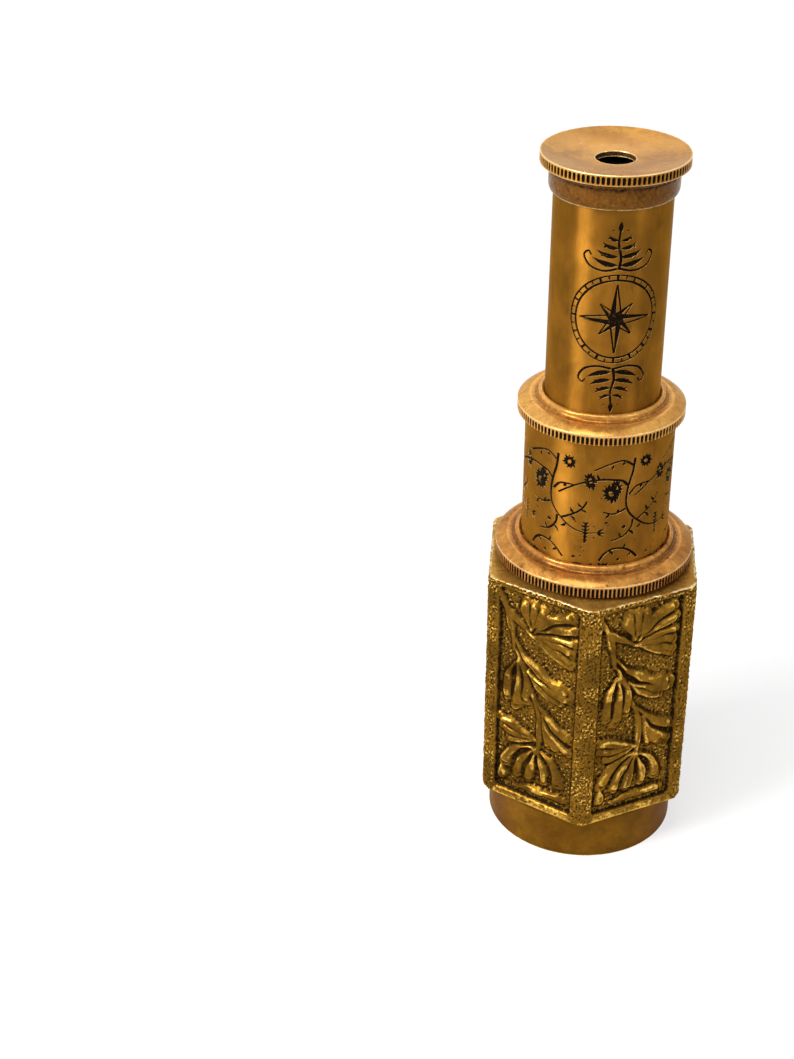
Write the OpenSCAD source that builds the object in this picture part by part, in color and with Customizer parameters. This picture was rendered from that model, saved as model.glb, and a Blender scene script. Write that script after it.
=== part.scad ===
// Pocket spyglass: a cast hexagonal casing on a round foot, with two draws and milled collars.
// Millimetres, +Z up. The origin is on the axis at the underside of the foot, and the casing's
// flats face along X, with corners along Y.

/* [Casing] */
// Width of the hexagonal casing across its flats
across_flats = 38.1; // [37.9:0.1:39.5]
// Height of the casing
casing_h = 48.2; // [46:0.1:52]
// Depth of the cast panels below the casing's faces
panel_depth = 1.0; // [0.7:0.1:1.2]
// Width of each cast panel
panel_w = 17.0; // [16.6:0.1:17.6]
// Diameter of the round foot
foot_d = 35.6; // [34.6:0.1:36.6]
// Height of the foot
foot_h = 9.6; // [9.4:0.1:11]

/* [Draws] */
// Outside diameter of the middle tube
mid_tube_d = 26.76; // [26.6:0.02:26.9]
// Outside diameter of the eye tube
eye_tube_d = 20.38; // [20.3:0.02:20.5]
// How far the middle collar stands above its seat on the casing
mid_out = 28.7; // [4.4:0.1:41]
// How far the eyecap stands above the middle collar's underside
eye_out = 40.9; // [4:0.1:45.8]

/* [Collars and eyecap] */
// Diameter of the barrel collar's milled rim
barrel_rim_d = 36.12; // [35.6:0.02:36.6]
// Diameter of the middle collar's milled rim
mid_rim_d = 29.8; // [29.4:0.1:30.4]
// Diameter of the eyecap's milled rim
cap_rim_d = 25.28; // [24.8:0.02:26]
// Grooves in the barrel collar's rim
barrel_teeth = 148; // [120:1:160]
// Grooves in the middle collar's rim
mid_teeth = 116; // [96:1:128]
// Grooves in the eyecap's rim
cap_teeth = 94; // [80:1:104]
// Diameter of the hole that the eye looks through
eye_hole_d = 6.74; // [5:0.02:8]

/* [Lenses] */
// Radius of both faces of the objective lens
objective_curve = 63.6; // [62:0.1:80]
// Radius of the curved face of the eye lens
eye_curve = 7.24; // [7.2:0.02:8]
// Radius of the curved face of the field lens
field_curve = 9.3; // [9.2:0.1:10]

/* [Hidden] */
$fn = 144;

// Finishes
cast_brass = "#8a6a26";
bright_brass = "#c8933c";
tube_brass = "#a8782c";
red_brass = "#b8743a";
inner_brass = "#b08d4a";
black_brass = "#2b2620";
lens_glass = "#cfe4e6";

// Fits, as clearance on the radius or along the axis
screw_gap = 0.02;
slide_gap = 0.07;
lens_gap = 0.05;

// Barrel and casing
hex_r = across_flats / 2 / cos(30);
corner_r = hex_r - 0.4;
casing_top = foot_h + casing_h;
boss_h = 0.9;
boss_r = 16.5;
barrel_top = casing_top + boss_h;
barrel_r = 16.2;
barrel_in = barrel_r - 0.9;
bottom_round = 1.2;
panel_low = 2.0;
panel_high = 1.1;

// Cast relief in the panels: its two steps above the ground, and how far it is sunk into it
relief_low = 0.45;
relief_high = 0.85;
relief_sink = 0.3;

// Cast leaves of each panel, in the panel's own plane: across from its middle, and up from the
// casing's lower edge. A leaf is its root, then its lobes clockwise: tip, and bow to the left.
LEAVES = [
    [[-1.3, 38.9], [[-3.2, 45.4, 0.5], [-1.5, 46.0, 0.2], [0.1, 45.9, 0], [1.6, 44.9, -0.2]]],
    [[-0.7, 39.1], [[4.0, 45.4, 0.5], [7.0, 45.9, 0.3], [7.9, 43.7, 0.1], [7.9, 41.6, 0.2]]],
    [[-0.9, 38.5], [[8.0, 39.3, 0.5], [7.6, 36.6, 0.3], [7.0, 34.1, 0]]],
    [[-5.8, 37.6], [[7.6, 28.6, -2.0]]],
    [[-1.5, 29.5], [[7.8, 26.9, -0.7], [5.5, 25.2, -0.5]]],
    [[-4.4, 33.6], [[-1.9, 24.0, 0.6], [-3.9, 21.5, -0.3], [-6.1, 22.9, -0.8], [-7.3, 26.1, -0.7]]],
    [[-0.4, 25.2], [[7.9, 18.9, -0.3]]],
    [[1.2, 22.3], [[7.9, 15.0, -0.4], [5.4, 14.9, -0.4], [2.8, 14.7, 0.3]]],
    [[0.2, 16.4], [[-6.7, 13.6, 0.3], [-7.0, 15.9, 0], [-7.7, 18.5, -0.4]]],
    [[0.2, 13.4], [[6.2, 6.7, 1.2], [2.8, 6.2, 0.4], [0.0, 6.0, 0], [-2.7, 6.2, -0.4], [-5.0, 7.2, -0.9],
        [-7.3, 9.2, -1.3]]],
    [[-7.9, 4.0], [[-4.7, 5.4, 0]]],
    [[-3.8, 3.6], [[7.0, 4.7, 0.5]]]
];
STEMS = [
    [[-8.3, 46.0], [-5.2, 34.8], 0.5], [[-5.3, 35.2], [-0.1, 23.6], 0.4],
    [[-0.2, 24.2], [0.2, 12.9], 0.9], [[-8.1, 44.2], [-1.2, 38.7], -0.5]
];

// Half widths of a leaf's lobes, of the ridges on them and of the stems, from root to tip
lobe_half = [0.35, 0.8, 0.95, 0.8];
ridge_half = [0.18, 0.4, 0.5, 0.38];
stem_half = [0.5, 0.6, 0.6, 0.5];

// Draw tubes: a collar's seat is the plane that its milled rim stands on
tube_wall = 0.6;
mid_r = mid_tube_d / 2;
mid_in = mid_r - tube_wall;
mid_seat = barrel_top + mid_out;
mid_low = mid_seat - 50.3;
mid_guide_h = 4.5;
eye_r = eye_tube_d / 2;
eye_in = eye_r - tube_wall;
cap_seat = mid_seat + eye_out;
eye_low = cap_seat - 53.8;
eye_guide_h = 4.0;

// Collars
barrel_rim = barrel_rim_d / 2;
barrel_lip_r = 14.57;
barrel_knurl_h = 2.3;
barrel_skirt_h = 4.7;
mid_rim = mid_rim_d / 2;
mid_lip_r = 11.3;
mid_knurl_h = 2.0;
mid_skirt_h = 3.9;
lip_rise = 1.95;
groove_depth = 0.34;

// Eyecap, whose seat is its lowest plane
cap_rim = cap_rim_d / 2;
cap_band_r = 11.06;
cap_knurl_z = cap_seat + 4.8;
cap_top = cap_seat + 6.7;
cap_socket_h = 3.1;
cap_cavity_top = cap_seat + 4.4;
dish_depth = 1.34;
eye_tube_top = cap_seat + cap_socket_h - screw_gap;

// Objective: the foot is its cell, and the lens bears on a shoulder above it
objective_r = 14.5;
objective_edge = 1.0;
objective_sight = 13.2;
objective_thread_r = 14.9;
shoulder_low = 5.6;
shoulder_high = 7.0;
spigot_h = 2.8;
objective_bulge = stand_out(objective_curve, objective_r, objective_sight);
objective_z = shoulder_low - lens_gap - objective_bulge - objective_edge;

// Tubes inside the eye draw, and the cells that screw into them
inner_tube_r = eye_in - screw_gap;
inner_tube_in = inner_tube_r - 1.17;
cell_r = inner_tube_in - screw_gap;
retainer_h = 1.2;

// Eye lens, flat face up: radius, edge, height of the edge's underside, sight hole
eye_lens_r = 5.2;
eye_lens_edge = 0.9;
eye_lens_z = cap_seat + 1.0;
eye_sight = 4.4;

// Field lens, flat face down
field_lens_r = 6.5;
field_lens_edge = 0.8;
field_lens_z = cap_seat - 13.3;
field_sight = 5.8;

// Erector's front and rear lenses, both biconvex
front_lens_r = 5.0;
front_lens_edge = 0.8;
front_lens_z = eye_low + 3.4;
front_curve = 12.4;
front_sight = 4.3;
rear_lens_r = 6.0;
rear_lens_edge = 1.0;
rear_lens_z = eye_low + 19.1;
rear_curve = 20.7;
rear_sight = 5.2;

// Points on an arc of a profile
function arc(centre, r, from, to, steps = 8) =
    [for (i = [0 : steps]) let (a = from + (to - from) * i / steps) centre + r * [cos(a), sin(a)]];

// Depth of a spherical face across a radius
function sag(curve, r) = curve - sqrt(curve * curve - r * r);

// How far a lens face of radius r_lens stands out from its edge at radius r
function stand_out(curve, r_lens, r) = sag(curve, r_lens) - sag(curve, r);

// Point on a run that bows to its left
function bowed(from, to, bow, t) =
    let (run = to - from) from + run * t + beside(run) * bow * 4 * t * (1 - t);

// Unit vector to the left of a run
function beside(run) = [-run[1], run[0]] / norm(run);

// Blade along a bowed run, with its half width at four stations and a blunt tip
module blade(from, to, bow, half, start, end) {
    stations = [start, 0.4, 0.75, end];
    middle = [for (t = stations) bowed(from, to, bow, t)];
    side = [for (t = stations) beside(bowed(from, to, bow, t + 0.02) - bowed(from, to, bow, t - 0.02))];
    tip = middle[3] + half[3] * 0.8 * [side[3][1], -side[3][0]];
    polygon(concat(
        [for (i = [0 : 3]) middle[i] + side[i] * half[i]],
        [tip + side[3] * half[3] * 0.55, tip - side[3] * half[3] * 0.55],
        [for (i = [3 : -1 : 0]) middle[i] - side[i] * half[i]]
    ));
}

// Round wall between two heights
module wall(r_out, r_in, low, high) {
    translate([0, 0, low]) difference() {
        cylinder(r = r_out, h = high - low);
        translate([0, 0, -1]) cylinder(r = r_in, h = high - low + 2);
    }
}

// Body turned from its half profile
module turned(profile) {
    rotate_extrude() polygon(profile);
}

// Milled band: straight grooves with a flat land between them
module milled_band(r, r_in, teeth, low, high) {
    corners = [[0.05, r], [0.55, r], [0.70, r - groove_depth], [0.90, r - groove_depth]];
    outline = [for (i = [0 : teeth - 1], c = corners)
        let (a = 360 / teeth * (i + c[0])) c[1] * [cos(a), sin(a)]];
    translate([0, 0, low]) linear_extrude(high - low) difference() {
        polygon(outline);
        circle(r = r_in);
    }
}

// Lens: its lower face is flat or convex, and so is its upper one. A curve of 0 is flat.
module lens(r, edge, edge_z, low_curve, high_curve) {
    low = low_curve > 0 ? sag(low_curve, r) : 0;
    high = high_curve > 0 ? sag(high_curve, r) : 0;
    rotate_extrude() intersection() {
        translate([0, edge_z - low]) square([r, low + edge + high]);
        if (low_curve > 0) translate([0, edge_z - low + low_curve]) circle(r = low_curve, $fn = 1440);
        if (high_curve > 0) translate([0, edge_z + edge + high - high_curve]) circle(r = high_curve, $fn = 1440);
    }
}

// Cell with a lens pocket that opens upwards. The lens rests on the shoulder around the sight hole.
module cell(r_out, sight_r, pocket_r, low, shoulder, high) {
    turned([[sight_r, low], [r_out, low], [r_out, high], [pocket_r, high], [pocket_r, shoulder], [sight_r, shoulder]]);
}

// Retaining ring with two slots for its key
module retainer(r_out, r_in, low, h) {
    difference() {
        wall(r_out, r_in, low, low + h);
        translate([-r_out - 1, -0.5, low + h / 2]) cube([2 * r_out + 2, 1, h]);
    }
}

// Split spring ring that rubs in the tube around it
module split_ring(r_out, r_in, low, h) {
    difference() {
        wall(r_out, r_in, low, low + h);
        translate([0, -0.6, low - 1]) cube([r_out + 1, 1.2, h + 2]);
    }
}

// Guide ring at the foot of a draw, with the groove for its spring ring
module guide_ring(r_out, r_tube, root, low, h, groove_low, groove_h) {
    g = low + groove_low;
    turned([
        [r_tube, low], [r_out - 0.25, low], [r_out, low + 0.25],
        [r_out, g], [root, g], [root, g + groove_h], [r_out, g + groove_h],
        [r_out, low + h], [r_tube, low + h]
    ]);
}

// Collar at a tube's mouth: skirt inside the tube, milled rim, domed top, hollow and rolled lip
module collar(rim, bore, skirt_r, lip_r, teeth, seat, knurl_h, skirt_h) {
    top = seat + knurl_h;
    crest = top + lip_rise;
    bead = (lip_r - bore) / 2;
    dome_r = lip_r + 1.35;
    dome_z = top + 0.85;
    rise = dome_z - (top - 0.1);
    turned(concat(
        [[bore, seat - skirt_h], [skirt_r, seat - skirt_h], [skirt_r, seat], [rim - groove_depth, seat]],
        [[rim - groove_depth, top - 0.3], [rim, top - 0.2]],
        [for (t = [0 : 6]) [rim - (rim - dome_r) * t / 6, dome_z - rise * pow(1 - t / 6, 2)]],
        arc([dome_r - 0.7, dome_z + 0.55], 0.65, 290, 190, 6),
        arc([lip_r - bead, crest - bead], bead, 0, 180, 10)
    ));
    milled_band(rim, skirt_r - 1, teeth, seat, top - 0.25);
}

// Barrel

module casing_bottom_cutter() {
    translate([0, hex_r, 0]) rotate([90, 0, 0]) linear_extrude(2 * hex_r) difference() {
        translate([0, -0.5]) square(bottom_round + 0.5);
        translate([0, bottom_round]) circle(r = bottom_round);
    }
}

// Relief of one panel, drawn in the panel's own plane
module panel_relief() {
    linear_extrude(relief_sink + relief_low) {
        for (leaf = LEAVES, lobe = leaf[1]) blade(leaf[0], [lobe[0], lobe[1]], lobe[2], lobe_half, 0.02, 0.9);
        for (stem = STEMS) blade(stem[0], stem[1], stem[2], stem_half, 0, 1);
    }
    linear_extrude(relief_sink + relief_high)
        for (leaf = LEAVES, lobe = leaf[1]) blade(leaf[0], [lobe[0], lobe[1]], lobe[2], ridge_half, 0.2, 0.88);
}

module casing_shell() {
    difference() {
        union() {
            translate([0, 0, foot_h]) intersection() {
                rotate([0, 0, 30]) cylinder(r = hex_r, h = casing_h, $fn = 6);
                cylinder(r = corner_r, h = casing_h);
            }
            translate([0, 0, casing_top - 1]) cylinder(r = boss_r, h = 1 + boss_h);
        }
        translate([0, 0, foot_h - 1]) cylinder(r = barrel_r + screw_gap, h = casing_h + 4);
        for (side = [0 : 5]) rotate([0, 0, 60 * side]) {
            translate([across_flats / 2 - panel_depth, -panel_w / 2, foot_h + panel_low])
                cube([panel_depth + 1, panel_w, casing_h - panel_low - panel_high]);
            translate([across_flats / 2 - bottom_round, 0, foot_h]) casing_bottom_cutter();
        }
    }
}

module hex_casing() {
    color(cast_brass) {
        casing_shell();
        for (side = [0 : 5]) rotate([0, 0, 60 * side])
            translate([across_flats / 2 - panel_depth - relief_sink, 0, foot_h]) rotate([90, 0, 90]) panel_relief();
    }
}

module barrel_tube() {
    color(inner_brass) wall(barrel_r, barrel_in, foot_h, barrel_top);
}

module barrel_collar() {
    color(red_brass) collar(barrel_rim, mid_r + slide_gap, barrel_in - screw_gap, barrel_lip_r,
        barrel_teeth, barrel_top, barrel_knurl_h, barrel_skirt_h);
}

// The foot is the objective's cell
module objective_cell() {
    foot_r = foot_d / 2;
    edge = 0.25;
    color(tube_brass) turned([
        [foot_r - edge, 0], [foot_r, edge], [foot_r, foot_h - edge], [foot_r - edge, foot_h],
        [barrel_in - screw_gap, foot_h], [barrel_in - screw_gap, foot_h + spigot_h], [14.2, foot_h + spigot_h],
        [14.2, shoulder_high], [objective_sight, shoulder_high], [objective_sight, shoulder_low],
        [objective_r + lens_gap, shoulder_low], [objective_r + lens_gap, objective_z - 0.15],
        [objective_thread_r, objective_z - 0.15], [objective_thread_r, 0.4], [objective_thread_r + 0.4, 0]
    ]);
}

module objective_lens() {
    color(lens_glass) lens(objective_r, objective_edge, objective_z, objective_curve, objective_curve);
}

module objective_ring() {
    color(black_brass) translate([0, 0, objective_z - objective_bulge - lens_gap]) mirror([0, 0, 1])
        retainer(objective_thread_r - screw_gap, objective_sight, 0, 1.6);
}

// Middle draw

module mid_friction_ring() {
    color(inner_brass) split_ring(barrel_in - 0.03, 14.15, mid_low + 1.55, 1.5);
}

module mid_tube() {
    color(tube_brass) wall(mid_r, mid_in, mid_low, mid_seat);
}

module mid_collar() {
    color(red_brass) collar(mid_rim, eye_r + slide_gap, mid_in - screw_gap, mid_lip_r,
        mid_teeth, mid_seat, mid_knurl_h, mid_skirt_h);
}

module mid_guide_ring() {
    color(inner_brass) guide_ring(barrel_in - 0.08, mid_r + screw_gap, 14.1, mid_low, mid_guide_h, 1.5, 1.6);
}

// Eye draw

module eye_friction_ring() {
    color(inner_brass) split_ring(mid_in - 0.03, 11.65, eye_low + 1.35, 1.3);
}

module eye_tube() {
    color(tube_brass) wall(eye_r, eye_in, eye_low, eye_tube_top);
}

module eye_guide_ring() {
    color(inner_brass) guide_ring(mid_in - 0.08, eye_r + screw_gap, 11.6, eye_low, eye_guide_h, 1.3, 1.4);
}

module eyecap() {
    hole_r = eye_hole_d / 2;
    dish_r = cap_rim - 0.3;
    root = cap_rim - groove_depth;
    knurl_low = cap_knurl_z + 0.25;
    knurl_high = cap_top - 0.35;
    depth_at = function(r) cap_top - dish_depth * (1 - (r * r - hole_r * hole_r) / (dish_r * dish_r - hole_r * hole_r));
    color(bright_brass) {
        turned(concat(
            [[eye_r + screw_gap, cap_seat], [eye_r + 0.25, cap_seat]],
            [for (a = [0 : 15 : 90]) [cap_band_r - 0.65 * (1 - sin(a)), cap_seat + 1.4 - 1.4 * cos(a)]],
            arc([cap_band_r + 1.15, cap_seat + 3.5], 1.15, 180, 115, 6),
            [[cap_rim - 0.12, cap_knurl_z], [cap_rim, cap_knurl_z + 0.12], [cap_rim, knurl_low], [root, knurl_low]],
            [[root, knurl_high], [cap_rim, knurl_high], [cap_rim, cap_top - 0.15], [cap_rim - 0.15, cap_top]],
            [for (t = [0 : 12]) let (r = dish_r - (dish_r - hole_r) * t / 12) [r, depth_at(r)]],
            [[hole_r, cap_cavity_top], [eye_in, cap_cavity_top], [eye_in, cap_seat + cap_socket_h]],
            [[eye_r + screw_gap, cap_seat + cap_socket_h]]
        ));
        milled_band(cap_rim - 0.04, cap_band_r, cap_teeth, knurl_low - 0.1, knurl_high + 0.1);
    }
}

// Eyepiece: two plano-convex lenses and the stop that edges the view

module eyepiece_tube() {
    color(black_brass) wall(inner_tube_r, inner_tube_in, cap_seat - 15.3, eye_tube_top);
}

module eye_lens_cell() {
    shoulder = eye_lens_z - stand_out(eye_curve, eye_lens_r, eye_sight) - lens_gap;
    color(black_brass) cell(cell_r, eye_sight, eye_lens_r + lens_gap, cap_seat - 2, shoulder, eye_tube_top);
}

module eye_lens() {
    color(lens_glass) lens(eye_lens_r, eye_lens_edge, eye_lens_z, eye_curve, 0);
}

module eye_lens_ring() {
    color(black_brass) retainer(eye_lens_r + lens_gap - screw_gap, eye_sight,
        eye_lens_z + eye_lens_edge + lens_gap, 1.0);
}

module field_lens_cell() {
    shoulder = field_lens_z - lens_gap;
    color(black_brass) cell(cell_r, field_sight, field_lens_r + lens_gap, shoulder - 0.4, shoulder, shoulder + 4.2);
}

module field_lens() {
    color(lens_glass) lens(field_lens_r, field_lens_edge, field_lens_z, 0, field_curve);
}

module field_lens_ring() {
    bulge = stand_out(field_curve, field_lens_r, field_sight);
    color(black_brass) retainer(field_lens_r + lens_gap - screw_gap, field_sight,
        field_lens_z + field_lens_edge + bulge + lens_gap, retainer_h);
}

module field_stop() {
    color(black_brass) wall(cell_r, 4.5, cap_seat - 14.9, cap_seat - 14.3);
}

// Erector: two convex lenses that turn the image upright

module erector_tube() {
    color(black_brass) wall(inner_tube_r, inner_tube_in, eye_low + 0.7, eye_low + 23.5);
}

module erector_front_cell() {
    shoulder = front_lens_z - stand_out(front_curve, front_lens_r, front_sight) - lens_gap;
    color(black_brass) cell(cell_r, front_sight, front_lens_r + lens_gap, shoulder - 2, shoulder, shoulder + 3.5);
}

module erector_front_lens() {
    color(lens_glass) lens(front_lens_r, front_lens_edge, front_lens_z, front_curve, front_curve);
}

module erector_front_ring() {
    bulge = stand_out(front_curve, front_lens_r, front_sight);
    color(black_brass) retainer(front_lens_r + lens_gap - screw_gap, front_sight,
        front_lens_z + front_lens_edge + bulge + lens_gap, retainer_h);
}

module erector_stop() {
    color(black_brass) wall(cell_r, 1.8, eye_low + 11.3, eye_low + 11.9);
}

module erector_rear_cell() {
    shoulder = rear_lens_z - stand_out(rear_curve, rear_lens_r, rear_sight) - lens_gap;
    color(black_brass) cell(cell_r, rear_sight, rear_lens_r + lens_gap, shoulder - 2, shoulder, shoulder + 3.6);
}

module erector_rear_lens() {
    color(lens_glass) lens(rear_lens_r, rear_lens_edge, rear_lens_z, rear_curve, rear_curve);
}

module erector_rear_ring() {
    bulge = stand_out(rear_curve, rear_lens_r, rear_sight);
    color(black_brass) retainer(rear_lens_r + lens_gap - screw_gap, rear_sight,
        rear_lens_z + rear_lens_edge + bulge + lens_gap, retainer_h);
}

hex_casing();
barrel_tube();
barrel_collar();
objective_cell();
objective_lens();
objective_ring();
mid_friction_ring();
mid_tube();
mid_collar();
mid_guide_ring();
eye_friction_ring();
eye_tube();
eyecap();
eye_guide_ring();
eyepiece_tube();
eye_lens_cell();
eye_lens();
eye_lens_ring();
field_lens_cell();
field_lens();
field_lens_ring();
field_stop();
erector_tube();
erector_front_cell();
erector_front_lens();
erector_front_ring();
erector_stop();
erector_rear_cell();
erector_rear_lens();
erector_rear_ring();
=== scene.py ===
"""Looks of a pocket spyglass in aged brass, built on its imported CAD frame.

Sizes are millimetres in the part's own frame: the axis is Z and the foot stands on Z = 0.
Meshes are written in metres, and every piece has its place in its own vertices.
"""

import logging
import math
import random
from collections.abc import Iterable, Sequence
from dataclasses import dataclass, field
from enum import Enum
from functools import cache

import bpy
import numpy as np
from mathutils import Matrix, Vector
from mathutils.geometry import delaunay_2d_cdt


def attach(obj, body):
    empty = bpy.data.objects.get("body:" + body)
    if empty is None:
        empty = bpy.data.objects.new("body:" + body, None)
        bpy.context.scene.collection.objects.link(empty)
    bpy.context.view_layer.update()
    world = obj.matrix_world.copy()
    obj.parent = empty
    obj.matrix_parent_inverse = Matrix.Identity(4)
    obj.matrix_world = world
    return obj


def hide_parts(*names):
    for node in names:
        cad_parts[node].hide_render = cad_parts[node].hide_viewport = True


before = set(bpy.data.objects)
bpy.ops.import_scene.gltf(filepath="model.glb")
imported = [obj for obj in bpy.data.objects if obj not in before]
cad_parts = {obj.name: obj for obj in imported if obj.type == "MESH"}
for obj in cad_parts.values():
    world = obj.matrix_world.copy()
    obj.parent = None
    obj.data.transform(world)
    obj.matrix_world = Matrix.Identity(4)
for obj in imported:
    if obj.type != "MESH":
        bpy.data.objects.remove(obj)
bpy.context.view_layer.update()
log = logging.getLogger("spyglass")

MM = 0.001
PER_METRE = (1000.0, 1000.0, 1000.0)
WELD = 0.002 * MM
WHITE = (1.0, 1.0, 1.0, 1.0)
FRONT = math.radians(-91.56)  # from the axis to the camera

Colour = tuple[float, float, float]
Point = tuple[float, float]
Corner = tuple[float, float, float]  # radius, height and easing
Zone = tuple[float, float, float, float, float]  # lowest and highest radius, lowest and highest height, amount
Socket = bpy.types.NodeSocket


class Body(Enum):
    """Bodies of the frame that the new pieces ride on."""

    BARREL = "barrel"
    MID_DRAW = "mid_draw"
    EYE_DRAW = "eye_draw"


class Grain(Enum):
    """Fine structure that the making of a surface left in it."""

    CAST = "cast"
    TURNED = "turned"
    DRAWN = "drawn"


def srgb(red: float, green: float, blue: float) -> Colour:
    """Turns screen values into a linear colour.

    Args:
        red: Red from 0 to 255.
        green: Green from 0 to 255.
        blue: Blue from 0 to 255.

    Returns:
        The colour that a shader takes.
    """
    return tuple(
        v / 12.92 if v <= 0.04045 else ((v + 0.055) / 1.055) ** 2.4 for v in (red / 255, green / 255, blue / 255)
    )


# Node trees


class Graph:
    """Short calls that build one node tree."""

    def __init__(self, tree: bpy.types.NodeTree) -> None:
        """Keeps the tree that the nodes go into."""
        self.tree = tree

    def feed(self, node: bpy.types.Node, inputs: dict) -> None:
        """Sets or links a node's inputs.

        Args:
            node: The node.
            inputs: A value or a socket for each input, by name or number.
        """
        for key, value in inputs.items():
            if isinstance(value, Socket):
                self.tree.links.new(value, node.inputs[key])
            else:
                node.inputs[key].default_value = value

    def add(self, kind: str, inputs: dict | None = None, out: int | str = 0, **settings: object) -> Socket:
        """Adds a node.

        Args:
            kind: The node's type.
            inputs: A value or a socket for each input, by name or number.
            out: The output that is wanted.
            **settings: The node's own settings.

        Returns:
            The wanted output.
        """
        node = self.tree.nodes.new(kind)
        for key, value in settings.items():
            setattr(node, key, value)
        self.feed(node, inputs or {})
        return node.outputs[out]

    def math(self, operation: str, first: object, second: object = 0.0) -> Socket:
        """Adds a Math node and returns its result."""
        return self.add("ShaderNodeMath", {0: first, 1: second}, operation=operation)

    def scaled(self, vector: object, factors: Colour) -> Socket:
        """Adds a scaling of a vector, axis by axis, and returns its result."""
        return self.add("ShaderNodeVectorMath", {0: vector, 1: factors}, operation="MULTIPLY")

    def length(self, vector: object) -> Socket:
        """Adds the length of a vector and returns it."""
        return self.add("ShaderNodeVectorMath", {0: vector}, "Value", operation="LENGTH")

    def millimetres(self) -> Socket:
        """Adds the place on the piece, in millimetres, and returns it."""
        return self.scaled(self.add("ShaderNodeTexCoord", out="Object"), PER_METRE)

    def noise(self, vector: object, scale: float, detail: float = 3.0, warp: float = 0.0) -> Socket:
        """Adds a noise texture over a vector and returns its value."""
        inputs = {"Vector": vector, "Scale": scale, "Detail": detail, "Roughness": 0.55, "Distortion": warp}
        return self.add("ShaderNodeTexNoise", inputs)

    def ramp(self, value: object, low: float, high: float, start: float = 0.0, end: float = 1.0) -> Socket:
        """Adds a smooth step of a value from one range to another and returns its result."""
        inputs = {"Value": value, "From Min": low, "From Max": high, "To Min": start, "To Max": end}
        return self.add("ShaderNodeMapRange", inputs, interpolation_type="SMOOTHSTEP")

    def blend(self, factor: object, first: object, second: object, kind: str = "MIX") -> Socket:
        """Adds a mix of two colours, each a colour or a socket, and returns its result."""
        first, second = ((*colour, 1.0) if isinstance(colour, tuple) else colour for colour in (first, second))
        return self.add("ShaderNodeMix", {0: factor, 6: first, 7: second}, 2, data_type="RGBA", blend_type=kind)

    def bump(self, strength: float, depth: float, height: Socket) -> Socket:
        """Adds a bump of a depth in millimetres and returns the bumped normal."""
        return self.add("ShaderNodeBump", {"Strength": strength, "Distance": depth * MM, "Height": height})

    def backdrop(self) -> Socket:
        """Adds the share of rays that show the white backdrop.

        Returns:
            1 for camera, glossy and transmission rays, and 0 for the others.
        """
        path = self.tree.nodes.new("ShaderNodeLightPath")
        seen = self.math("MAXIMUM", path.outputs["Is Camera Ray"], path.outputs["Is Glossy Ray"])
        return self.math("MAXIMUM", seen, path.outputs["Is Transmission Ray"])


# Finishes


@dataclass(frozen=True)
class Finish:
    """Anything that a piece can be dressed in."""

    name: str

    @cache
    def material(self) -> bpy.types.Material:
        """Builds the finish as a material, once.

        Returns:
            The material.
        """
        made = bpy.data.materials.new(self.name + "_finish")
        made.use_nodes = True
        graph = Graph(made.node_tree)
        graph.feed(made.node_tree.nodes["Principled BSDF"], self.inputs(graph))
        return made

    def inputs(self, graph: Graph) -> dict[str, object]:
        """Builds what the main shader takes, which each kind of finish does in its own way.

        Args:
            graph: The material's graph.

        Returns:
            A value or a socket for each input that is set, by name.
        """
        raise NotImplementedError(f"{self.name} has no inputs for {graph.tree.name}")


@dataclass(frozen=True)
class Layer:
    """One noise of a finish, and the part of its range over which it comes in."""

    scale: float
    detail: float
    warp: float
    low: float
    high: float

    def noise(self, graph: Graph, place: Socket, zoom: float = 1.0) -> Socket:
        """Adds the layer's noise over a place and returns its value."""
        return graph.noise(place, self.scale * zoom, self.detail, self.warp)

    def mask(self, graph: Graph, place: Socket, share: float = 1.0, zoom: float = 1.0) -> Socket:
        """Adds the layer as a mask that rises to a share, and returns it."""
        return graph.ramp(self.noise(graph, place, zoom), self.low, self.high, 0.0, share)


PATINA = Layer(1.0, 5, 0.3, 0.3, 0.7)
CLOUDS = Layer(6.0, 6, 0.6, 0.35, 0.7)
STAINS = Layer(2.6, 8, 1.4, 0.56, 0.7)
SPECKS = Layer(3.1, 3, 0.2, 0.66, 0.74)
CHIPS = Layer(1.6, 5, 0.4, 0.6, 0.7)
DUST = Layer(1.4, 6, 0.4, 0.42, 0.75)


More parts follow.
